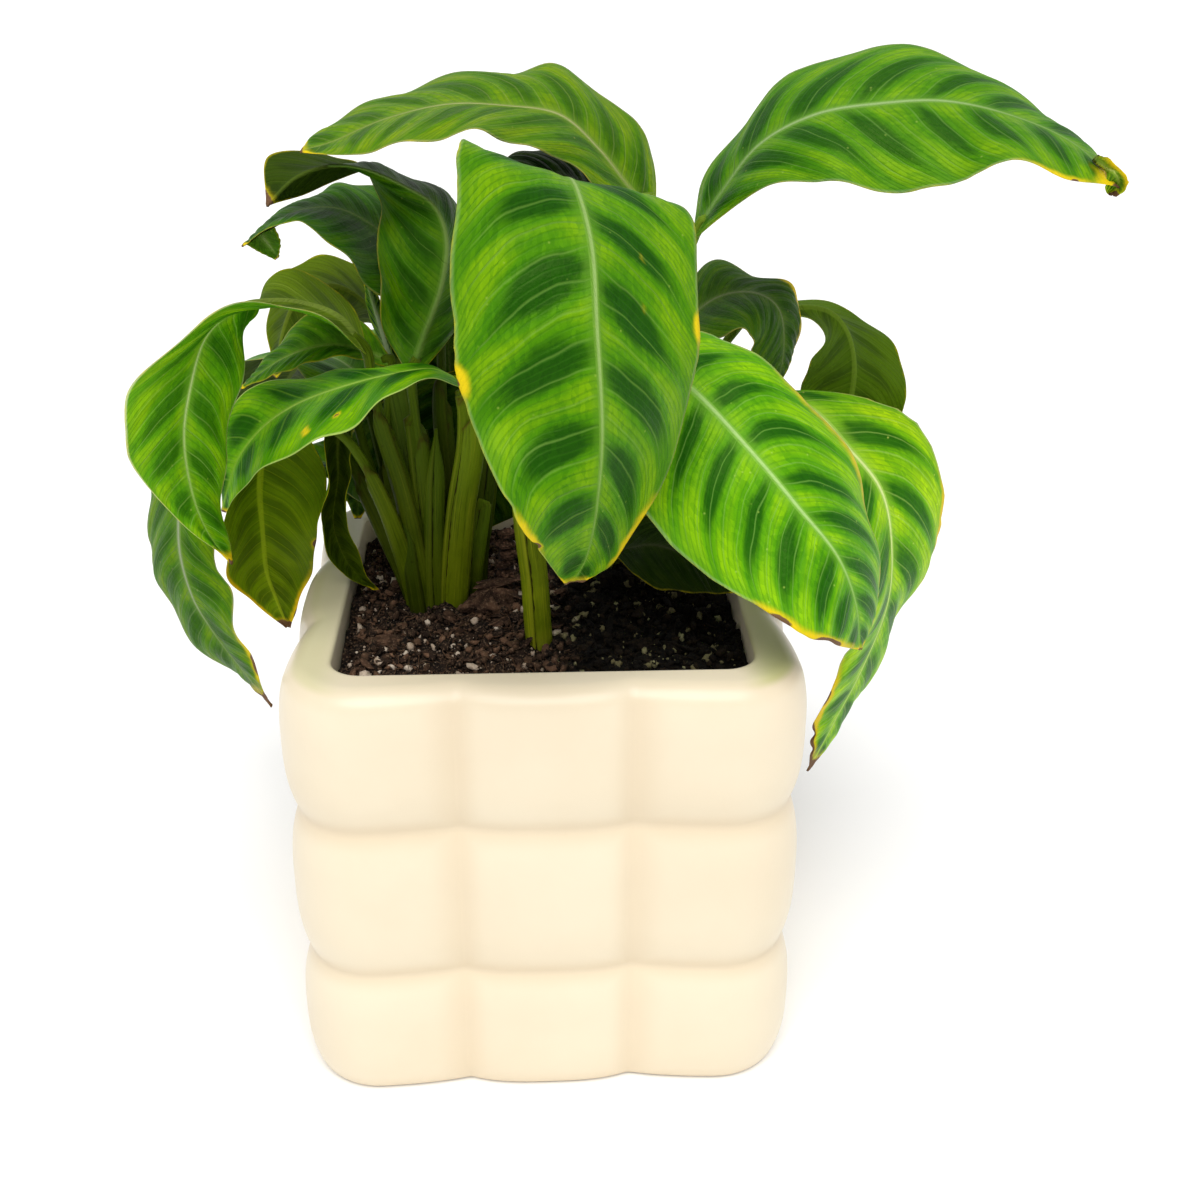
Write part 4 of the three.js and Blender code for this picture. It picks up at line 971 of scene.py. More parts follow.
def blade_grid(leaf, seed):
    """The middle sheet of a blade: at each point its place, the share t of the rib's length, the share q of
    the half width, the half width and the place along the veins; then the rib's length and the spacing."""
    q = np.concatenate([-SHARES[:0:-1], SHARES])
    step = np.linspace(0, 1, leaf.get("rows", ROWS) + 1)[:, None]
    share = np.abs(q)[None, :]
    t = np.clip(step + 0.16 * share * 4 * step * (1 - step), 0, 1)
    u, length = by_length(leaf["rib"], t)
    centre = through(leaf["rib"], u)
    margin = np.where((q > 0)[None, :, None], through(leaf["left"], u), through(leaf["right"], u))
    ahead = through(leaf["rib"], np.clip(u + 0.02, 0, len(leaf["rib"]) - 1))
    behind = through(leaf["rib"], np.clip(u - 0.02, 0, len(leaf["rib"]) - 1))
    along = unit(ahead - behind)
    across = margin - centre
    width = np.linalg.norm(across, axis=-1)
    sign = np.where(q > 0, 1.0, -1.0)[None, :, None]
    up = unit(np.cross(along, across) * sign)
    arch = leaf.get("arch", 1) * BLADE_ARCH * 4 * share * (1 - share) * width
    ends = np.sqrt(np.clip(np.sin(np.pi * t), 0, 1))
    wave = leaf["wave"] * share ** 2 * ends * np.sin(
        TAU * WAVE_COUNT * (t - 0.12 * share) + np.where(q > 0, 0.9, -0.9)[None, :])
    out = share * width
    slant = leaf.get("slant", (0.6, 0.6))
    vein = length * t - np.where(q > 0, slant[0], slant[1])[None, :] * out - 0.42 * width * share ** 3
    period = leaf.get("period", length / 8.2)
    quilt = QUILT * np.cos(TAU * vein / (period / 2)) * smooth(0.05, 0.3, share) * smooth(1, 0.8, share)
    side = np.sign(q)[None, :]
    lumps = UNEVEN * rough(length * t, side * out, 13, seed) * smooth(0.0, 0.5, share) * ends
    swing = leaf.get("swing", 0.025) * rough(length * t, side * 60 + 0 * t, 11, seed + 2)
    bites = 0.5 + 0.5 * rough(length * t, side * 40 + 0 * t, 2.6, seed + 1)
    teeth = (0.012 + 0.05 * leaf.get("torn", 0)) * bites
    ragged = 1 - swing * smooth(0.6, 1, share) * ends - teeth * smooth(0.8, 1, share)
    for t0, q0, reach, depth in leaf.get("nicks", ()):
        ragged = ragged - depth * smooth(0.7, 1, share) * np.exp(-((t - t0) / reach) ** 2) * (side * q0 > 0)
    points = centre + across * (share * ragged)[..., None] + up * (arch + wave + quilt + lumps)[..., None]
    return points, t, np.broadcast_to(q, t.shape), width, vein, length, period


def grid_normals(points):
    """The upward direction at each point of a sheet whose rows run along the rib and columns to the left."""
    along = np.gradient(points, axis=0)
    across = np.gradient(points, axis=1)
    return unit(np.cross(along, across))


# %% [markdown]
# A leaf ages from its margin and its tip inwards. Each mark in the table becomes a soft patch that is
# strongest at its own place on the margin, and a dry patch has a yellow one round it, as on a real leaf.

# %% Yellow and brown places
def aged(leaf, t, q, width):
    """How yellow and how dry the blade is at each point."""
    share = np.abs(q)
    from_edge = (1 - share) * width
    yellow = 0.62 * smooth(1.3, 0.0, from_edge) * leaf.get("edge", 0.75) + smooth(0.955, 1.0, t) * 0.7
    dry = smooth(0.978, 1.0, t) * 0.75
    for kind, t0, q0, reach, depth, strength in leaf.get("marks", ()):
        if kind == "spot":
            away = np.hypot((t - t0) * leaf["length"], (q - q0) * width) / reach
            yellow = np.maximum(yellow, strength * np.exp(-away ** 2))
            dry = np.maximum(dry, depth * np.exp(-(away * 1.6) ** 2))
            continue
        near = np.exp(-((t - t0) / reach) ** 2) * smooth(depth, 0.0, from_edge) * strength
        near = np.where(q * q0 >= 0, near, 0)
        if kind == "yellow":
            yellow = np.maximum(yellow, near)
        else:
            dry = np.maximum(dry, near)
            yellow = np.maximum(yellow, 0.8 * np.exp(-((t - t0) / (reach * 1.4)) ** 2)
                                * smooth(depth * 1.8, 0.0, from_edge) * np.where(q * q0 >= 0, strength, 0))
    return yellow, dry


# %% [markdown]
# Leaves differ in age and in the light and shade they stand in, and a tone paints both in. A tone multiplies
# the red, green and blue of a whole leaf: low values are painted shade on the dark leaves inside, and a high
# red is for the old olive ones.

# %% Each leaf's tone
TONES = {
    "front": (0.70, 0.74, 0.6), "right_front": (1.0, 1.06, 1.0), "right_outer": (1.65, 1.35, 1.5),
    "upper_right": (0.72, 0.74, 0.8), "upper_left": (0.95, 0.70, 0.8), "inner_top": (0.25, 0.28, 0.3),
    "left_upright": (0.42, 0.46, 0.3), "left_pale_tip": (0.36, 0.44, 0.2), "left_large": (1.25, 1.15, 1.2),
    "left_lying": (0.85, 0.90, 0.4), "lower_left": (0.72, 0.60, 1.0), "left_olive": (2.1, 1.85, 0.4),
    "left_small": (0.60, 0.60, 0.4), "left_back_olive": (1.0, 0.95, 0.5), "left_twisted": (0.75, 0.72, 0.3),
    "right_back_dark": (0.40, 0.36, 0.4), "right_back_olive": (1.05, 1.15, 0.6),
    "soil_level": (0.10, 0.085, 0.1), "rolled": (0.75, 0.66, 1.0), "back_inner": (0.22, 0.22, 0.2),
    "back_left": (0.7, 0.7, 0.7), "back_right": (0.8, 0.8, 0.8), "back_centre": (0.8, 0.8, 0.8),
    "back_low_left": (0.5, 0.5, 0.5), "back_low_right": (0.5, 0.5, 0.5),
    "young_a": (0.26, 0.25, 0.15), "young_b": (0.26, 0.25, 0.15), "young_c": (0.26, 0.25, 0.15),
    "curled_tip": (1.1, 0.9, 0.6), "hanging_flap": (0.6, 0.6, 0.5),
}


# %% [markdown]
# The shell of a leaf has its midrib raised a little on the upper face, with a shallow dip on both sides, and
# standing out below. The two faces are joined by a narrow wall along the margin.

# %% One leaf's mesh
def make_blade(name, leaf, seed):
    """The closed shell of one leaf, with all that the leaf material reads."""
    middle, t, q, width, vein, length, period = blade_grid(leaf, seed)
    up = grid_normals(middle)
    share = np.abs(q)
    half = BLADE_HALF_THICKNESS * (1 - 0.6 * share ** 4)
    out = share * width
    rib = np.exp(-(out / 0.95) ** 2) * (1 - 0.8 * t)
    beside = np.exp(-((out - 2.4) / 1.1) ** 2) * (1 - 0.8 * t)
    upper = middle + up * (half + 0.30 * rib - 0.22 * beside)[..., None]
    lower = middle - up * (half + 1.0 * rib)[..., None]
    rows, columns = t.shape
    upper_at = np.arange(rows * columns).reshape(rows, columns)
    lower_at = upper_at + rows * columns
    faces = []
    for i in range(rows - 1):
        for j in range(columns - 1):
            a, b, c, d = upper_at[i, j], upper_at[i + 1, j], upper_at[i + 1, j + 1], upper_at[i, j + 1]
            e, f, g, h = lower_at[i, j], lower_at[i + 1, j], lower_at[i + 1, j + 1], lower_at[i, j + 1]
            faces += [(a, b, c, d), (e, h, g, f)]
        for j, flip in ((0, False), (columns - 1, True)):
            wall = (upper_at[i, j], lower_at[i, j], lower_at[i + 1, j], upper_at[i + 1, j])
            faces.append(wall[::-1] if flip else wall)
    for j in range(columns - 1):
        faces.append((upper_at[0, j], upper_at[0, j + 1], lower_at[0, j + 1], lower_at[0, j]))
        faces.append((upper_at[-1, j], lower_at[-1, j], lower_at[-1, j + 1], upper_at[-1, j + 1]))
    leaf["length"] = length
    yellow, dry = aged(leaf, t, q, width)
    state = np.stack([yellow, dry, 0 * t + leaf.get("faint", 0)], -1).reshape(-1, 3)
    # the bands of the two halves don't meet at the rib
    veins = np.stack([vein + np.where(q < 0, 0.23 * period, 0), out, share], -1).reshape(-1, 3)
    blade_facts = np.stack([np.full(t.shape, period), t, np.full(t.shape, leaf.get("rim", 0.25))],
                           -1).reshape(-1, 3)
    flat_uv = np.stack([q * 0.25 + 0.25, t], -1).reshape(-1, 2)
    piece = make_piece("leaf_" + name, np.vstack([upper.reshape(-1, 3), lower.reshape(-1, 3)]), faces,
                       leaf_skin,
                       values={"vein": np.vstack([veins, veins]), "state": np.vstack([state, state]),
                               "under": np.repeat([0.0, 1.0], rows * columns),
                               "blade": np.tile(blade_facts, (2, 1)),
                               "tone": np.tile(TONES.get(name, (1, 1, 1)), (2 * rows * columns, 1))},
                       uv=np.vstack([flat_uv, flat_uv + (0.5, 0)]))
    return piece


# %% Make the leaves
NODE_OF = {"main": "shoot_main", "right": "shoot_right", "front": "shoot_front"}
for number, (name, leaf) in enumerate(LEAVES.items()):
    blade = make_blade(name, leaf, 100 + number)
    stand_for(blade, NODE_OF[leaf["shoot"]])
print("leaves:", len(LEAVES))

# %% [markdown]
# Two bits of leaf are too twisted for the three curves: the curl at the end of one tip and a torn flap that
# hangs from another. They are small blades of their own. So are three young leaves deep in the main clump,
# whose dark tones are painted shade: they darken the gaps between its stalks.

# %% Torn, curled and young bits
SCRAPS = {
    "curled_tip": dict(
        shoot="right",
        wave=0.2,
        marks=[("yellow", 0.5, 1, 0.5, 3, 0.9), ("dry", 1, 0, 0.12, 9, 1.0)],
        rib=[[138, -21, 250], [141, -20, 248], [143, -22, 247], [145, -20, 244], [144, -20, 241]],
        left=[[138, -23, 251], [141, -22, 250], [145, -24, 246], [146, -22, 243], [144, -22, 241]],
        right=[[138, -21, 249], [141, -20, 247], [141, -22, 245], [142, -20, 242], [143, -20, 241]],
    ),
    "hanging_flap": dict(
        shoot="main",
        wave=0.2,
        faint=0.8,
        rib=[[-72, 2, 228], [-70, 2, 225], [-68, 2, 222]],
        left=[[-68, 0, 230], [-67, 0, 226], [-68, 0, 222]],
        right=[[-76, 2, 225], [-73, 2, 223], [-69, 2, 221]],
    ),
    "young_a": dict(
        shoot="main",
        wave=0.3,
        rib=[[-24, 23, 152], [-25, 27, 170], [-26, 30, 188], [-26, 31, 203]],
        left=[[-25, 23, 152], [-31, 27, 166], [-34, 30, 186], [-27, 31, 203]],
        right=[[-23, 23, 152], [-19, 27, 168], [-17, 30, 188], [-25, 31, 203]],
    ),
    "young_b": dict(
        shoot="main",
        wave=0.3,
        rib=[[-38, 22, 165], [-39, 25, 182], [-39, 26, 194], [-39, 27, 206]],
        left=[[-39, 22, 165], [-43, 25, 180], [-45, 26, 193], [-40, 27, 206]],
        right=[[-37, 22, 165], [-34, 25, 180], [-32, 26, 193], [-38, 27, 206]],
    ),
    "young_c": dict(
        shoot="main",
        wave=0.4,
        rib=[[-54, 22, 180], [-54, 24, 166], [-54, 25, 154], [-55, 25, 138]],
        left=[[-53, 22, 180], [-46, 24, 168], [-45, 25, 154], [-54, 25, 138]],
        right=[[-55, 22, 180], [-60, 24, 168], [-61, 25, 154], [-56, 25, 138]],
    ),
}
SCRAP_ROWS = 40
for number, (name, scrap) in enumerate(SCRAPS.items()):
    stand_for(make_blade(name, {**scrap, "rows": SCRAP_ROWS}, 160 + number), NODE_OF[scrap["shoot"]])
print("torn, curled and young bits:", len(SCRAPS))


# %% [markdown]
# ## The stalks
#
# A calathea leaf stands on a stalk whose lower half is a sheath: a flat wrap, open down one side, with a dark
# slit where its margins lap over. Above the sheath the stalk is a plain rod, and just under the blade it
# swells into a smooth knee. A bevelled curve would be round all along. Here the section is drawn round each
# point of the path instead, with a step in its outline for the slit, which closes above the sheath.

# %% The stalk's sizes, in millimetres
STALK_ROWS = 64
STALK_SIDES = 23
LAP = 0.7
SHEATH_END = 0.52
KNEE_LENGTH = 13


def carried_frames(path):
    """At each point of a path: its direction and two directions across that turn as little as possible."""
    along = unit(np.gradient(path, axis=0))
    side = np.cross(along[0], (0.0, 1.0, 0.05))
    sides = []
    for direction in along:
        side = side - direction * np.dot(side, direction)
        side = side / np.linalg.norm(side)
        sides.append(side)
    sides = np.array(sides)
    return along, sides, np.cross(along, sides)


# %% One stalk
def make_stalk(name, points, root, tip, slit, material, sheath=SHEATH_END, knee=True, flat=1.22, taper=0.3,
               tone=(1, 1, 1), point=0.0):
    """A sheathed stalk along the points; slit is where its lap faces: 0 left, 90 front, 180 right. Sheath is
    the share of the length that it wraps, flat and taper shape it, and point narrows its upper end."""
    share = np.linspace(0, 1, STALK_ROWS + 1)
    u, length = by_length(points, share)
    path = through(points, u)
    _, side, back = carried_frames(path)
    turn = np.linspace(0, 1, STALK_SIDES)
    angle = math.radians(slit) + TAU * turn
    top = sheath + 0.10 * turn[None, :] - 0.02 * np.cos(TAU * 3 * turn)[None, :]
    on = 1 - smooth(0, 0.012, share[:, None] - top)
    rod = tip + (root * 0.72 - tip) * (1 - share[:, None]) ** 1.2
    wrap = root * (1 - taper * share[:, None] / sheath)
    radius = np.where(on > 0, rod + (np.maximum(wrap, rod) - rod) * on, rod)
    radius = radius + LAP * on * (turn[None, :] - 0.35)
    if knee:
        swell = np.exp(-(((1 - share[:, None]) * length - KNEE_LENGTH * 0.5) / (KNEE_LENGTH * 0.42)) ** 2)
        radius = radius + 0.30 * swell
    radius = radius * (1 + 0.025 * rough(share[:, None] * length, turn[None, :] * 40, 9, len(name)))
    wide = 1 + (flat - 1) * on
    radius = radius * (1 - point * smooth(0.72, 1.0, share)[:, None] ** 1.5)
    points_3d = (path[:, None, :] + side[:, None, :] * (radius * wide * np.cos(angle))[..., None]
                 + back[:, None, :] * (radius / np.sqrt(wide) * np.sin(angle))[..., None])
    edge = on + 0 * radius
    brim = np.exp(-((share[:, None] - top) / 0.012) ** 2)
    place_on = np.stack([np.broadcast_to(turn, radius.shape) * 12, share[:, None] * length + 0 * radius,
                         share[:, None] + 0 * radius], -1)
    piece = make_piece("stalk_" + name, points_3d.reshape(-1, 3), ring_faces(STALK_ROWS + 1, STALK_SIDES),
                       material, values={"stalk": place_on.reshape(-1, 3), "slit": edge.ravel(),
                                         "brim": (brim + 0 * radius).ravel(),
                                         "tone": np.tile(tone, (radius.size, 1))})
    return piece


# %% [markdown]
# The stalks are olive green, paler where they come out of the soil, with fine fibres along them, a few dark
# flecks, and a thin torn brown line along the slit and round the sheath's end.

# %% The stalk material
def build_stalk_skin():
    material, tree, surface, _ = new_material("calathea_stalk")
    place_on = named(tree, "stalk", "Vector")
    around, along, share = place(tree, "SeparateXYZ", Vector=place_on).outputs
    spot = place(tree, "TexCoord").outputs["Object"]
    fibre_place = place(tree, "CombineXYZ", X=maths(tree, "MULTIPLY", around, 3.2),
                        Y=maths(tree, "MULTIPLY", along, 0.035), Z=0.0).outputs[0]
    fibre = place(tree, "TexNoise", Vector=fibre_place, Scale=1.0, Detail=5.0, Roughness=0.65).outputs[0]
    slow = use(tree, mottle_group, Vector=spot, Size=45.0)["Mask"]
    green = blend(tree, slow, (0.100, 0.165, 0.008), (0.190, 0.275, 0.014))
    green = blend(tree, ramp(tree, share, 0.35, 0.8), green, (0.20, 0.35, 0.025))
    green = blend(tree, ramp(tree, fibre, 0.52, 0.70, 0.0, 0.75), green, (0.34, 0.42, 0.05))
    green = blend(tree, ramp(tree, fibre, 0.48, 0.30, 0.0, 0.75), green, (0.035, 0.07, 0.004))
    green = blend(tree, ramp(tree, along, 16.0, 3.0, 0.0, 0.5), green, (0.30, 0.33, 0.10))
    flecks = use(tree, specks_group, Vector=spot, Count=330.0, Radius=0.2, Share=0.06)["Mask"]
    green = blend(tree, maths(tree, "MULTIPLY", flecks, 0.6), green, (0.05, 0.04, 0.01))
    torn = use(tree, mottle_group, Vector=spot, Size=300.0, Low=0.42, High=0.55)["Mask"]
    wander = place(tree, "TexNoise", Vector=spot, Scale=160.0, Detail=2.0).outputs[0]
    reach = ramp(tree, wander, 0.35, 0.7, 0.04, 0.34)
    lap = maths(tree, "MULTIPLY", named(tree, "slit"), maths(tree, "LESS_THAN", around, reach))
    green = blend(tree, maths(tree, "MULTIPLY", lap, 0.92), green, (0.020, 0.012, 0.004))
    # painted highlight: a lighter strip along the lapping edge beside the slit
    lap_highlight = maths(tree, "MULTIPLY", named(tree, "slit"), ramp(tree, around, 11.2, 11.95, 0.0, 0.5))
    green = blend(tree, lap_highlight, green, (0.30, 0.36, 0.05))
    brim = maths(tree, "MULTIPLY", named(tree, "brim"), torn)
    green = blend(tree, maths(tree, "MULTIPLY", brim, 0.8), green, (0.14, 0.09, 0.03))
    # painted shade: the tone darkens the stalks deep in the clump and leaves the open ones light
    green = blend(tree, 1.0, green, named(tree, "tone", "Vector"), "MULTIPLY")
    tree.links.new(green, surface.inputs["Base Color"])
    tree.links.new(ramp(tree, fibre, 0.3, 0.7, 0.36, 0.52), surface.inputs["Roughness"])
    surface.inputs["Specular IOR Level"].default_value = 0.10
    surface.inputs["Specular Tint"].default_value = (0.9, 1.0, 0.4, 1)
    bump = use(tree, grit_group, Vector=spot, Size=700.0, Depth=0.0003, Strength=0.5,
               Height=maths(tree, "MULTIPLY", fibre, 1.6))
    tree.links.new(bump["Normal"], surface.inputs["Normal"])
    return material


stalk_skin = build_stalk_skin()

# %% [markdown]
# Each leaf's stalk starts below the soil's surface and ends inside the base of its blade. Their tones paint
# shade: light in the open, dark deep in the clump. Some have a width and a slit of their own.

# %% Make the stalks
SHADY = (0.30, 0.30, 0.13)
DEEP_SHADE = (0.17, 0.18, 0.08)
OPEN = (0.7, 0.7, 0.6)
STALK_FORMS = {
    "front": dict(root=3.25, sheath=0.75, taper=0.0, slit=72, flat=1.1, tone=(1.0, 0.86, 0.3)),
    "left_lying": dict(root=3.3, sheath=0.82, taper=0.12, slit=38, tone=(0.62, 0.56, 0.2)),
    "left_large": dict(root=3.3, sheath=0.66, taper=0.35, slit=128, tone=SHADY),
    "lower_left": dict(root=2.7, sheath=0.47, taper=0.3, slit=145, tone=(0.42, 0.42, 0.16)),
    "left_upright": dict(root=2.4, sheath=0.7, taper=0.0, slit=60, tone=SHADY),
    "left_pale_tip": dict(root=2.8, sheath=0.6, taper=0.2, slit=110, tone=DEEP_SHADE),
    "rolled": dict(root=2.7, sheath=0.97, taper=0.0, slit=150, tone=(0.30, 0.30, 0.3)),
}
for number, (name, leaf) in enumerate(LEAVES.items()):
    foot = [leaf["stem"][0][0], leaf["stem"][0][1], 113]
    hold = through(leaf["rib"], by_length(leaf["rib"], 0.06)[0]) - (0, 0, 0.5)
    path = [foot, *leaf["stem"], leaf["rib"][0], hold.tolist()]
    tone = SHADY if leaf["shoot"] == "main" else OPEN
    plain = dict(root=2.9, slit=140 + 47 * number % 360, tone=tone)
    form = {**plain, **STALK_FORMS.get(name, {})}
    stalk = make_stalk(name, path, tip=1.15, material=stalk_skin, **form)
    stand_for(stalk, NODE_OF[leaf["shoot"]])
print("stalks:", len(LEAVES))

# %% [markdown]
# Between the stalks stand sheaths that have no leaf left: flat straps with a pointed top. The young leaves
# have thin stalks of their own.

# %% Bare sheaths
BARE_SHEATHS = {
    "bare_a": ([(-30, -8, 113), (-30, -9, 140), (-28, -10, 178)], 2.2, 75),
    "bare_b": ([(-34, -7, 113), (-36, -9, 136), (-38, -10, 160)], 2.0, 120),
    "bare_c": ([(-25, -3, 113), (-24, -4, 140), (-20, -6, 172)], 2.9, 60),
    "bare_d": ([(-21, 1, 113), (-18, 2, 145), (-14, 3, 176)], 2.9, 100),
    "bare_e": ([(-29, 3, 113), (-31, 5, 140), (-32, 7, 172)], 3.2, 80),
}
for name, (path, root, slit) in BARE_SHEATHS.items():
    sheath = make_stalk(name, path, root, 1.2, slit, stalk_skin, sheath=1.3, knee=False, flat=1.35, taper=0.1,
                        tone=SHADY if name == "bare_a" else DEEP_SHADE, point=0.85)
    stand_for(sheath, "shoot_main")
YOUNG_STALKS = {
    "young_a": [(-22, 8, 113), (-23, 15, 136), (-24.5, 23, 153)],
    "young_b": [(-30, 9, 113), (-35, 16, 142), (-38, 22, 166)],
    "young_c": [(-33, 7, 113), (-44, 13, 152), (-50, 19, 178), (-53.6, 22, 179)],
}
for name, path in YOUNG_STALKS.items():
    stand_for(make_stalk(name, path, 1.9, 0.9, 90, stalk_skin, tone=DEEP_SHADE), "shoot_main")
print("bare sheaths:", len(BARE_SHEATHS), "young stalks:", len(YOUNG_STALKS))

# %% [markdown]
# One stalk in the clump was cut off, and its end has dried and frayed. A brown stub of an older one stands
# by it. The dry layers round the stub are made with the soil, because they are lumps like the soil's.

# %% The cut stalk and the dry stump
def ragged_end(piece, depth, seed):
    """Pulls the upper end's points up and down, so that it looks broken."""
    chance = np.random.default_rng(seed)
    count = len(piece.data.vertices)
    spots = np.zeros(count * 3, np.float32)
    piece.data.vertices.foreach_get("co", spots)
    spots = spots.reshape(-1, 3)
    spots[-STALK_SIDES:, 2] += (chance.uniform(-1, 1, STALK_SIDES) * depth * MM).astype(np.float32)
    piece.data.vertices.foreach_set("co", spots.ravel())


cut = make_stalk("cut", [(-20, -2, 113), (-20, -1, 128), (-16, 1, 153)], 2.3, 1.7, 60, stalk_skin,
                 sheath=0.95, knee=False, taper=0.15, tone=(0.5, 0.48, 0.25))
ragged_end(cut, 1.2, 5)
stand_for(cut, "shoot_main")


def build_husk():
    material, tree, surface, _ = new_material("dry_husk")
    place_on = named(tree, "stalk", "Vector")
    around, along, _ = place(tree, "SeparateXYZ", Vector=place_on).outputs
    spot = place(tree, "TexCoord").outputs["Object"]
    laid = place(tree, "CombineXYZ", X=around, Y=maths(tree, "MULTIPLY", along, 0.5), Z=0.0).outputs[0]
    layers = place(tree, "TexNoise", Vector=laid, Scale=2.6, Detail=5.0, Roughness=0.7).outputs[0]
    brown = blend(tree, ramp(tree, layers, 0.35, 0.65), (0.012, 0.006, 0.004), (0.085, 0.045, 0.026))
    pale = ramp(tree, layers, 0.62, 0.75, 0.0, 0.7)
    brown = blend(tree, pale, brown, (0.34, 0.22, 0.14))
    tree.links.new(brown, surface.inputs["Base Color"])
    surface.inputs["Roughness"].default_value = 0.85
    bump = use(tree, grit_group, Vector=spot, Size=900.0, Depth=0.0014, Strength=1.0,
               Height=maths(tree, "MULTIPLY", layers, 2.5))
    tree.links.new(bump["Normal"], surface.inputs["Normal"])
    return material


husk_skin = build_husk()
stump = make_stalk("dry_stump", [(-10.6, -2, 116), (-10.2, -1.5, 131), (-9.6, -1, 143)], 2.3, 1.5, 70,
                   husk_skin, sheath=0.9, knee=False)
ragged_end(stump, 2.0, 8)
stand_for(stump, "dry_stump")
print("cut stalk and dry stump made")

# %% [markdown]
# ## The soil
#
# Potting soil is dark crumbs of peat, flat chips of bark, white grains of perlite and thin root fibres.
# A bump texture alone looks like a flat brown sheet, because soil throws shadows at every size. So the bed is
# a fine height field, and on it lie real pieces: crumbs, chips, grains and fibres, each a small mesh, joined
# into one mesh for each kind.

# %% The bed
SOIL_LEVEL = 119
MOUND_HEIGHT = 6
MOUND_CENTRE = (-14, -2)
MOUND_SPREAD = 26
SOIL_GAP = 0.35
BED_CELLS = 190


def soil_height(x, y):
    """The same low mound that the plain solid has."""
    away = (x - MOUND_CENTRE[0]) ** 2 + (y - MOUND_CENTRE[1]) ** 2
    return (SOIL_LEVEL + MOUND_HEIGHT * np.exp(-away / (2 * MOUND_SPREAD ** 2))
            + 0.7 * np.sin(0.33 * x + 1) * np.cos(0.29 * y))


def clods(x, y):
    """Crumbly unevenness on top of the mound."""
    lumps = rough(x, y, 7.5, 21) * 1.5 + rough(x, y, 3.4, 22) * 1.0
    crumbs = np.abs(rough(x, y, 1.7, 23)) * 0.9 + rough(x, y, 0.9, 24) * 0.35
    return lumps + crumbs


def soil_top(x, y):
    return soil_height(x, y) + clods(x, y)


def make_bed(material):
    half = OPENING_HALF - SOIL_GAP
    corner = OPENING_CORNER - SOIL_GAP
    line = np.linspace(-half, half, BED_CELLS + 1)
    x, y = np.meshgrid(line, line, indexing="ij")
    dx = np.maximum(np.abs(x) - (half - corner), 0)
    dy = np.maximum(np.abs(y) - (half - corner), 0)
    away = np.hypot(dx, dy)
    pull = np.where(away > corner, corner / np.maximum(away, 1e-6), 1)
    x = np.where(away > corner, np.sign(x) * (half - corner + dx * pull), x)
    y = np.where(away > corner, np.sign(y) * (half - corner + dy * pull), y)
    z = soil_top(x, y)
    top = np.stack([x, y, z], -1).reshape(-1, 3)
    count = BED_CELLS + 1
    at = np.arange(count * count).reshape(count, count)
    faces = [(at[i, j], at[i + 1, j], at[i + 1, j + 1], at[i, j + 1])
             for i in range(count - 1) for j in range(count - 1)]
    rim = [*at[:, 0], *at[-1, 1:], *at[-2::-1, -1], *at[0, -2:0:-1]]
    floor_points = top[rim].copy()
    floor_points[:, 2] = FLOOR_THICKNESS + 0.3
    first = len(top)
    for k in range(len(rim)):
        n = (k + 1) % len(rim)
        faces.append((rim[k], first + k, first + n, rim[n]))
    faces.append(tuple(first + k for k in reversed(range(len(rim)))))
    return make_piece("soil_bed", np.vstack([top, floor_points]), faces, material)


# %% [markdown]
# The pieces on the bed start as a low-poly ball that is squashed, bent and roughened. One function makes
# them all; what differs is the size, the flatness and how sharp the corners are.

# %% A ball to start from
def ball(rings, sides):
    """Points and faces of a small closed ball of radius one."""
    points = [(0, 0, -1)]
    for i in range(1, rings):
        a = math.pi * i / rings - math.pi / 2
        points += [(math.cos(a) * math.cos(TAU * j / sides), math.cos(a) * math.sin(TAU * j / sides),
                    math.sin(a)) for j in range(sides)]
    points.append((0, 0, 1))
    last = len(points) - 1
    faces = [(0, 1 + (j + 1) % sides, 1 + j) for j in range(sides)]
    for i in range(rings - 2):
        for j in range(sides):
            k = (j + 1) % sides
            a, b = 1 + i * sides, 1 + (i + 1) * sides
            faces.append((a + j, a + k, b + k, b + j))
    top = 1 + (rings - 2) * sides
    faces += [(last, top + j, top + (j + 1) % sides) for j in range(sides)]
    return np.array(points, float), faces


def scatter(name, spots, sizes, form, material, seed, rings=5, sides=7, bend=0.0, angular=0.25, sink=0.3,
            level=True):
    """One mesh of many small lumps. Sizes are half lengths, form is how wide and thick they are, bend how far
    they curl, angular how uneven they are, sink how deep they lie, and level keeps them lying flat."""
    chance = np.random.default_rng(seed)
    start, start_faces = ball(rings, sides)
    points, faces, tints = [], [], []
    for (x, y), size in zip(spots, sizes):
        knobs = 1 + chance.uniform(-angular, angular, len(start))
        lump = start * knobs[:, None] * size * (1, *form) * chance.uniform(0.75, 1.25, 3)
        lump[:, 2] += bend * size * (lump[:, 0] / size) ** 2 * chance.uniform(-1, 1)
        tilt = chance.uniform(-0.5, 0.5, 2) if level else chance.uniform(-math.pi, math.pi, 2)
        turn = Matrix.Rotation(chance.uniform(0, TAU), 3, "Z") @ Matrix.Rotation(tilt[0], 3, "X")
        turn = np.array(turn @ Matrix.Rotation(tilt[1], 3, "Y"))
        lump = lump @ turn.T
        height = float(soil_top(x, y)) + size * form[1] * (1 - 2 * sink)
        first = sum(len(p) for p in points) if not points else first + len(points[-1])
        points.append(lump + (x, y, height))
        faces += [tuple(first + v for v in face) for face in start_faces]
        tints.append(np.full(len(start), chance.uniform(0, 1) ** 2.4))
    return make_piece(name, np.vstack(points), faces, material, values={"tint": np.concatenate(tints)})


# where no loose piece lies, because stalks stand there: centre and half widths
STALK_PLACES = [((-28, -1), (14, 12)), ((13, 23), (12, 12.5)), ((-1.5, -27), (4.5, 4.5))]
SPOT_CORNER = 10


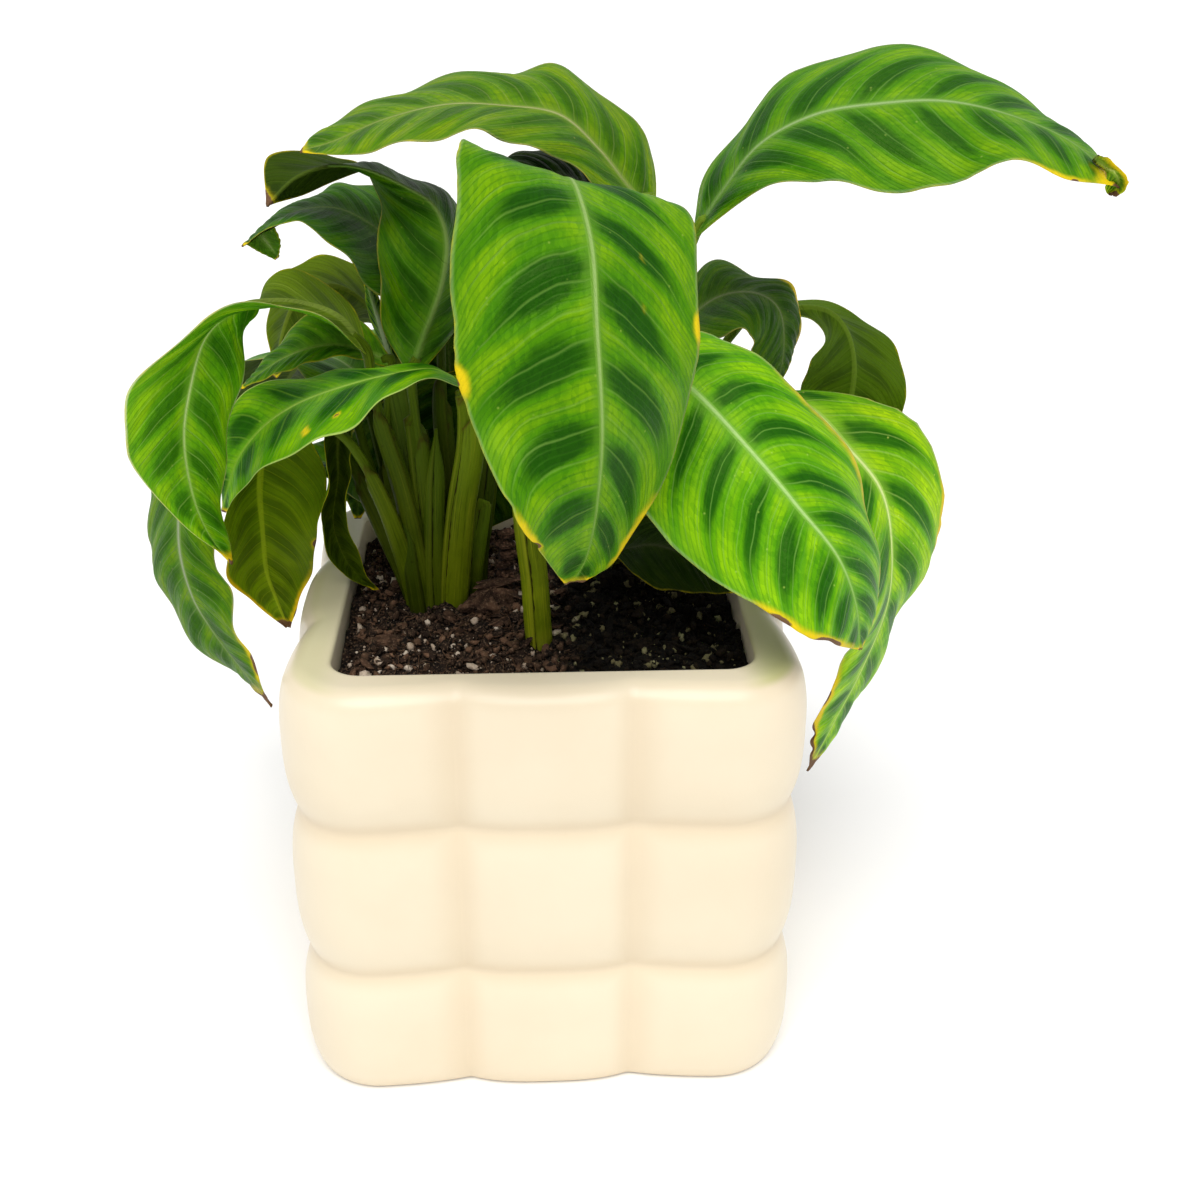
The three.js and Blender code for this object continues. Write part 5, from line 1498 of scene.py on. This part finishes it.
def soil_spots(count, seed, margin=1.5):
    """Places on the soil that are inside the opening and not in a stalk."""
    chance = np.random.default_rng(seed)
    spots = []
    reach = OPENING_HALF - SOIL_GAP - margin
    while len(spots) < count:
        x, y = chance.uniform(-reach, reach, 2)
        corner = math.hypot(max(abs(x) - (reach - SPOT_CORNER), 0), max(abs(y) - (reach - SPOT_CORNER), 0))
        in_clump = any(((x - cx) / wide) ** 2 + ((y - cy) / deep) ** 2 < 1
                       for (cx, cy), (wide, deep) in STALK_PLACES)
        if corner < SPOT_CORNER and not in_clump:
            spots.append((x, y))
    return spots


# %% [markdown]
# Peat is nearly black where it is damp and brown where it has dried. The same material serves the bed and
# the crumbs: a tint on each crumb moves it between the two. Bark is redder, and perlite is off-white with
# brown dust in its pits. Right of the front stalk the soil lies in deep shade, and all of it there is made
# darker with painted shade.

# %% The soil materials
def build_earth(name, dark, light, dust, shade_multiplier=(0.10, 0.105, 0.065)):
    material, tree, surface, _ = new_material(name)
    spot = place(tree, "TexCoord").outputs["Object"]
    slow = use(tree, mottle_group, Vector=spot, Size=240.0, Low=0.35, High=0.7)["Mask"]
    tint = named(tree, "tint")
    own = maths(tree, "MULTIPLY", tint, 0.9)
    share = maths(tree, "ADD", maths(tree, "MULTIPLY", slow, 0.14), own, clamp=True)
    earth = blend(tree, share, dark, light)
    fine = use(tree, mottle_group, Vector=spot, Size=1500.0, Low=0.52, High=0.66)["Mask"]
    earth = blend(tree, maths(tree, "MULTIPLY", fine, 0.38), earth, dust)
    # painted shade: right of the front stalk the earth is multiplied darker
    right = place(tree, "SeparateXYZ", Vector=spot).outputs[0]
    shade_edge = maths(tree, "ADD", right, maths(tree, "MULTIPLY", maths(tree, "SUBTRACT", slow, 0.5), 0.012))
    shaded_earth = blend(tree, 1.0, earth, shade_multiplier, "MULTIPLY")
    earth = blend(tree, ramp(tree, shade_edge, -0.003, 0.008), earth, shaded_earth)
    tree.links.new(earth, surface.inputs["Base Color"])
    surface.inputs["Roughness"].default_value = 0.92
    surface.inputs["Specular IOR Level"].default_value = 0.2
    bump = use(tree, grit_group, Vector=spot, Size=1400.0, Depth=0.0006, Strength=0.9)
    tree.links.new(bump["Normal"], surface.inputs["Normal"])
    return material


peat = build_earth("peat", (0.0030, 0.0014, 0.0009), (0.170, 0.090, 0.052), (0.34, 0.22, 0.14))
bark = build_earth("bark_chips", (0.020, 0.009, 0.005), (0.150, 0.078, 0.045), (0.30, 0.19, 0.12))
perlite = build_earth("perlite", (0.46, 0.35, 0.26), (0.84, 0.73, 0.60), (0.24, 0.14, 0.08),
                     (0.34, 0.38, 0.24))
fibre_skin = build_earth("root_fibre", (0.07, 0.035, 0.018), (0.24, 0.14, 0.08), (0.34, 0.23, 0.15))

# %% Lay the bed and scatter the pieces
CRUMBS = 4200
CLUMPS = 90
CHIPS = 620
GRAINS = 800
bed = make_bed(peat)
chance = np.random.default_rng(40)
crumb_sizes = 0.28 + 1.15 * chance.uniform(0, 1, CRUMBS) ** 2.5
crumbs = scatter("soil_crumbs", soil_spots(CRUMBS, 41), crumb_sizes, (0.85, 0.75), peat, 42, rings=4, sides=5,
                 angular=0.55, sink=-0.15, level=False)
clump_sizes = chance.uniform(1.2, 2.2, CLUMPS)
clumps = scatter("soil_clumps", soil_spots(CLUMPS, 48, 3), clump_sizes, (0.8, 0.6), peat, 49,
                 rings=9, sides=14, angular=0.28, sink=0.35)
chip_sizes = 0.8 + 2.9 * chance.uniform(0, 1, CHIPS) ** 2.6
chips = scatter("bark_chips", soil_spots(CHIPS, 43, 3.5), chip_sizes, (0.38, 0.13), bark, 44,
                rings=5, sides=9, bend=0.35, angular=0.28, sink=-0.9)
grain_sizes = 0.28 + 1.45 * chance.uniform(0, 1, GRAINS) ** 3.0
grains = scatter("perlite_grains", soil_spots(GRAINS, 45, 2.5), grain_sizes, (0.75, 0.62), perlite, 46,
                 rings=5, sides=7, angular=0.42, sink=0.1, level=False)
for piece in (bed, crumbs, clumps, chips, grains):
    stand_for(piece, "soil")

# %% [markdown]
# A few large bits catch the eye: a porous root chunk that leans on the stalks, and flat bark chips by the
# rim. Each is the same ball with many more points, eaten away by noise, so its pores throw real shadows.


# %% Large bits
def make_chunk(name, centre, half, turn, eaten, seed, rings=34, sides=52):
    """A pitted lump at a place on the soil; half is its half length, half width and half height."""
    points, faces = ball(rings, sides)
    around = np.arctan2(points[:, 1], points[:, 0])
    up = points[:, 2]
    seamless = np.cos(around) * 9, np.sin(around) * 9
    worn = rough(seamless[0] + 3 * up, seamless[1] + 7 * up, 4.0, seed) * 0.22
    pits = np.minimum(rough(seamless[0] * 2 + 9 * up, seamless[1] * 2 - 12 * up, 1.6, seed + 1) + 0.15, 0)
    lump = points * (1 + worn + eaten * pits)[:, None] * half
    c, s = math.cos(math.radians(turn)), math.sin(math.radians(turn))
    lump = lump @ np.array([[c, s, 0], [-s, c, 0], [0, 0, 1]])
    x, y, lift = centre
    lump = lump + (x, y, float(soil_height(x, y)) + lift)
    high = np.clip((1 + worn + eaten * pits - 0.85) * 3.2, 0, 1)
    return make_piece(name, lump, faces, bark, values={"tint": 0.06 + 0.75 * high ** 2})


CHUNKS = {
    "root_chunk": ((-14.5, -11, 1.5), (8.2, 5.5, 4.6), 20, 0.55, 61),
    "chunk_chip": ((-12.5, -7, 6.2), (7.5, 2.6, 0.7), 24, 0.3, 63),
    "front_chip": ((-42, -26.5, 1.4), (7.2, 3.4, 0.8), -4, 0.3, 65),
    "right_bark_a": ((27, -28.5, 1.0), (4.2, 2.6, 1.5), 10, 0.45, 67),
    "right_bark_b": ((34.5, -29.5, 1.2), (4.4, 2.2, 1.3), -25, 0.45, 69),
    "red_chip": ((-12, -19.5, 1.0), (3.6, 2.0, 0.6), 50, 0.25, 71),
}
for name, (centre, half, turn, eaten, seed) in CHUNKS.items():
    stand_for(make_chunk(name, centre, half, turn, eaten, seed), "soil")
print("large bits:", len(CHUNKS))

# %% [markdown]
# The dry stub is wrapped in what is left of its sheaths: dark crumpled layers with pale broken rims, one
# above the other. They are the same pitted lumps, flattened and stacked round the stub.

# %% The layers of the stub
LAYERS = 9
STUB_PLACE = (-10.6, -3.2)
STUB_LEAN = (0.8, 0.6)
STUB_LOW = 119.5
STUB_RISE = 24.5
chance = np.random.default_rng(90)
for number in range(LAYERS):
    up = number / (LAYERS - 1)
    spot = (STUB_PLACE[0] + STUB_LEAN[0] * up + chance.uniform(-0.7, 0.7),
            STUB_PLACE[1] + STUB_LEAN[1] * up + chance.uniform(-0.6, 0.4))
    lift = STUB_LOW + STUB_RISE * up - float(soil_height(*spot))
    layer = make_chunk("stub_layer_%d" % number, (*spot, lift), (3.3 - 0.7 * up, 2.9 - 0.6 * up, 1.25),
                       chance.uniform(0, 360), 0.8, 92 + number, 22, 34)
    stand_for(layer, "dry_stump")
print("layers of the stub:", LAYERS)

# %% [markdown]
# Root fibres are thin bent tubes. Each starts at a place on the soil, wanders in small steps that follow
# the soil's height, and lifts off it a little in its middle, so that it throws a shadow of its own.

# %% Root fibres
def make_fibres(count, seed):
    chance = np.random.default_rng(seed)
    points, faces = [], []
    for x, y in soil_spots(count, seed + 1, 6):
        steps = 12
        heading = chance.uniform(0, TAU)
        bend = chance.uniform(-0.35, 0.35)
        step = chance.uniform(0.5, 1.25)
        radius = chance.uniform(0.07, 0.2)
        line = [(x, y)]
        for _ in range(steps - 1):
            heading += bend + chance.uniform(-0.25, 0.25)
            line.append((line[-1][0] + step * math.cos(heading), line[-1][1] + step * math.sin(heading)))
        line = np.clip(np.array(line), -OPENING_HALF + 2, OPENING_HALF - 2)
        lift = np.sin(np.linspace(0.1, 3.0, steps)) * chance.uniform(0.0, 1.6)
        path = np.column_stack([line, soil_top(line[:, 0], line[:, 1]) + 0.25 + lift])
        _, side, back = carried_frames(path)
        first = len(points) * 5 * steps
        ring = TAU * np.arange(5) / 5
        thin = (radius * (1 - 0.6 * np.linspace(0, 1, steps)))[:, None, None]
        tube = (path[:, None] + thin * (side[:, None] * np.cos(ring)[:, None]
                                        + back[:, None] * np.sin(ring)[:, None]))
        points.append(tube.reshape(-1, 3))
        faces += ring_faces(steps, 5, first)
    return make_piece("root_fibres", np.vstack(points), faces, fibre_skin)


fibres = make_fibres(420, 50)
stand_for(fibres, "soil")
print("soil faces:", sum(len(piece.data.polygons) for piece in (bed, crumbs, clumps, chips, grains, fibres)))

# %% [markdown]
# ## The studio
#
# The plant stands on a plain pale floor in soft light from all round, brightest from the front and above.
# A distant lamp with a wide disc gives soft shadows and lights the whole floor alike, which a near lamp
# would not. The sky is a plain near-white.

# %% Floor
floor_material, floor_tree, floor_surface, _ = new_material("pale_floor")
floor_surface.inputs["Roughness"].default_value = 0.9
floor_surface.inputs["Specular IOR Level"].default_value = 0.1
paper = use(floor_tree, mottle_group, Vector=place(floor_tree, "TexCoord").outputs["Object"], Size=6.0)
floor_tree.links.new(blend(floor_tree, paper["Mask"], (0.95, 0.95, 0.95), (0.965, 0.965, 0.96)),
                     floor_surface.inputs["Base Color"])
FLOOR_HALF = 40000
floor = make_piece("floor", [(-FLOOR_HALF, -FLOOR_HALF, -0.2), (FLOOR_HALF, -FLOOR_HALF, -0.2),
                             (FLOOR_HALF, FLOOR_HALF, -0.2), (-FLOOR_HALF, FLOOR_HALF, -0.2)],
                   [(0, 1, 2, 3)], floor_material)


# %% Lamp and sky
def soft_sun(name, azimuth, height, strength, spread, colour=(1, 1, 1)):
    """A very wide distant lamp; azimuth 0 shines from the front and 90 from the right."""
    data = bpy.data.lights.new(name, "SUN")
    data.energy = strength
    data.angle = math.radians(spread)
    data.color = colour
    one = bpy.data.objects.new(name, data)
    bpy.context.scene.collection.objects.link(one)
    a, h = math.radians(azimuth), math.radians(height)
    towards = Vector((math.sin(a) * math.cos(h), -math.cos(a) * math.cos(h), math.sin(h)))
    one.rotation_euler = towards.to_track_quat("Z", "Y").to_euler()
    return one


soft_sun("key", -2, 62, 2.4, 44, (1.0, 0.995, 0.98))

world = bpy.data.worlds.new("sky")
world.use_nodes = True
bpy.context.scene.world = world
world.node_tree.nodes["Background"].inputs[0].default_value = (1, 1, 1, 1)
world.node_tree.nodes["Background"].inputs[1].default_value = 0.62
bpy.context.scene.view_settings.view_transform = "Standard"
bpy.context.scene.view_settings.look = "None"
print("studio: a soft lamp and a sky")
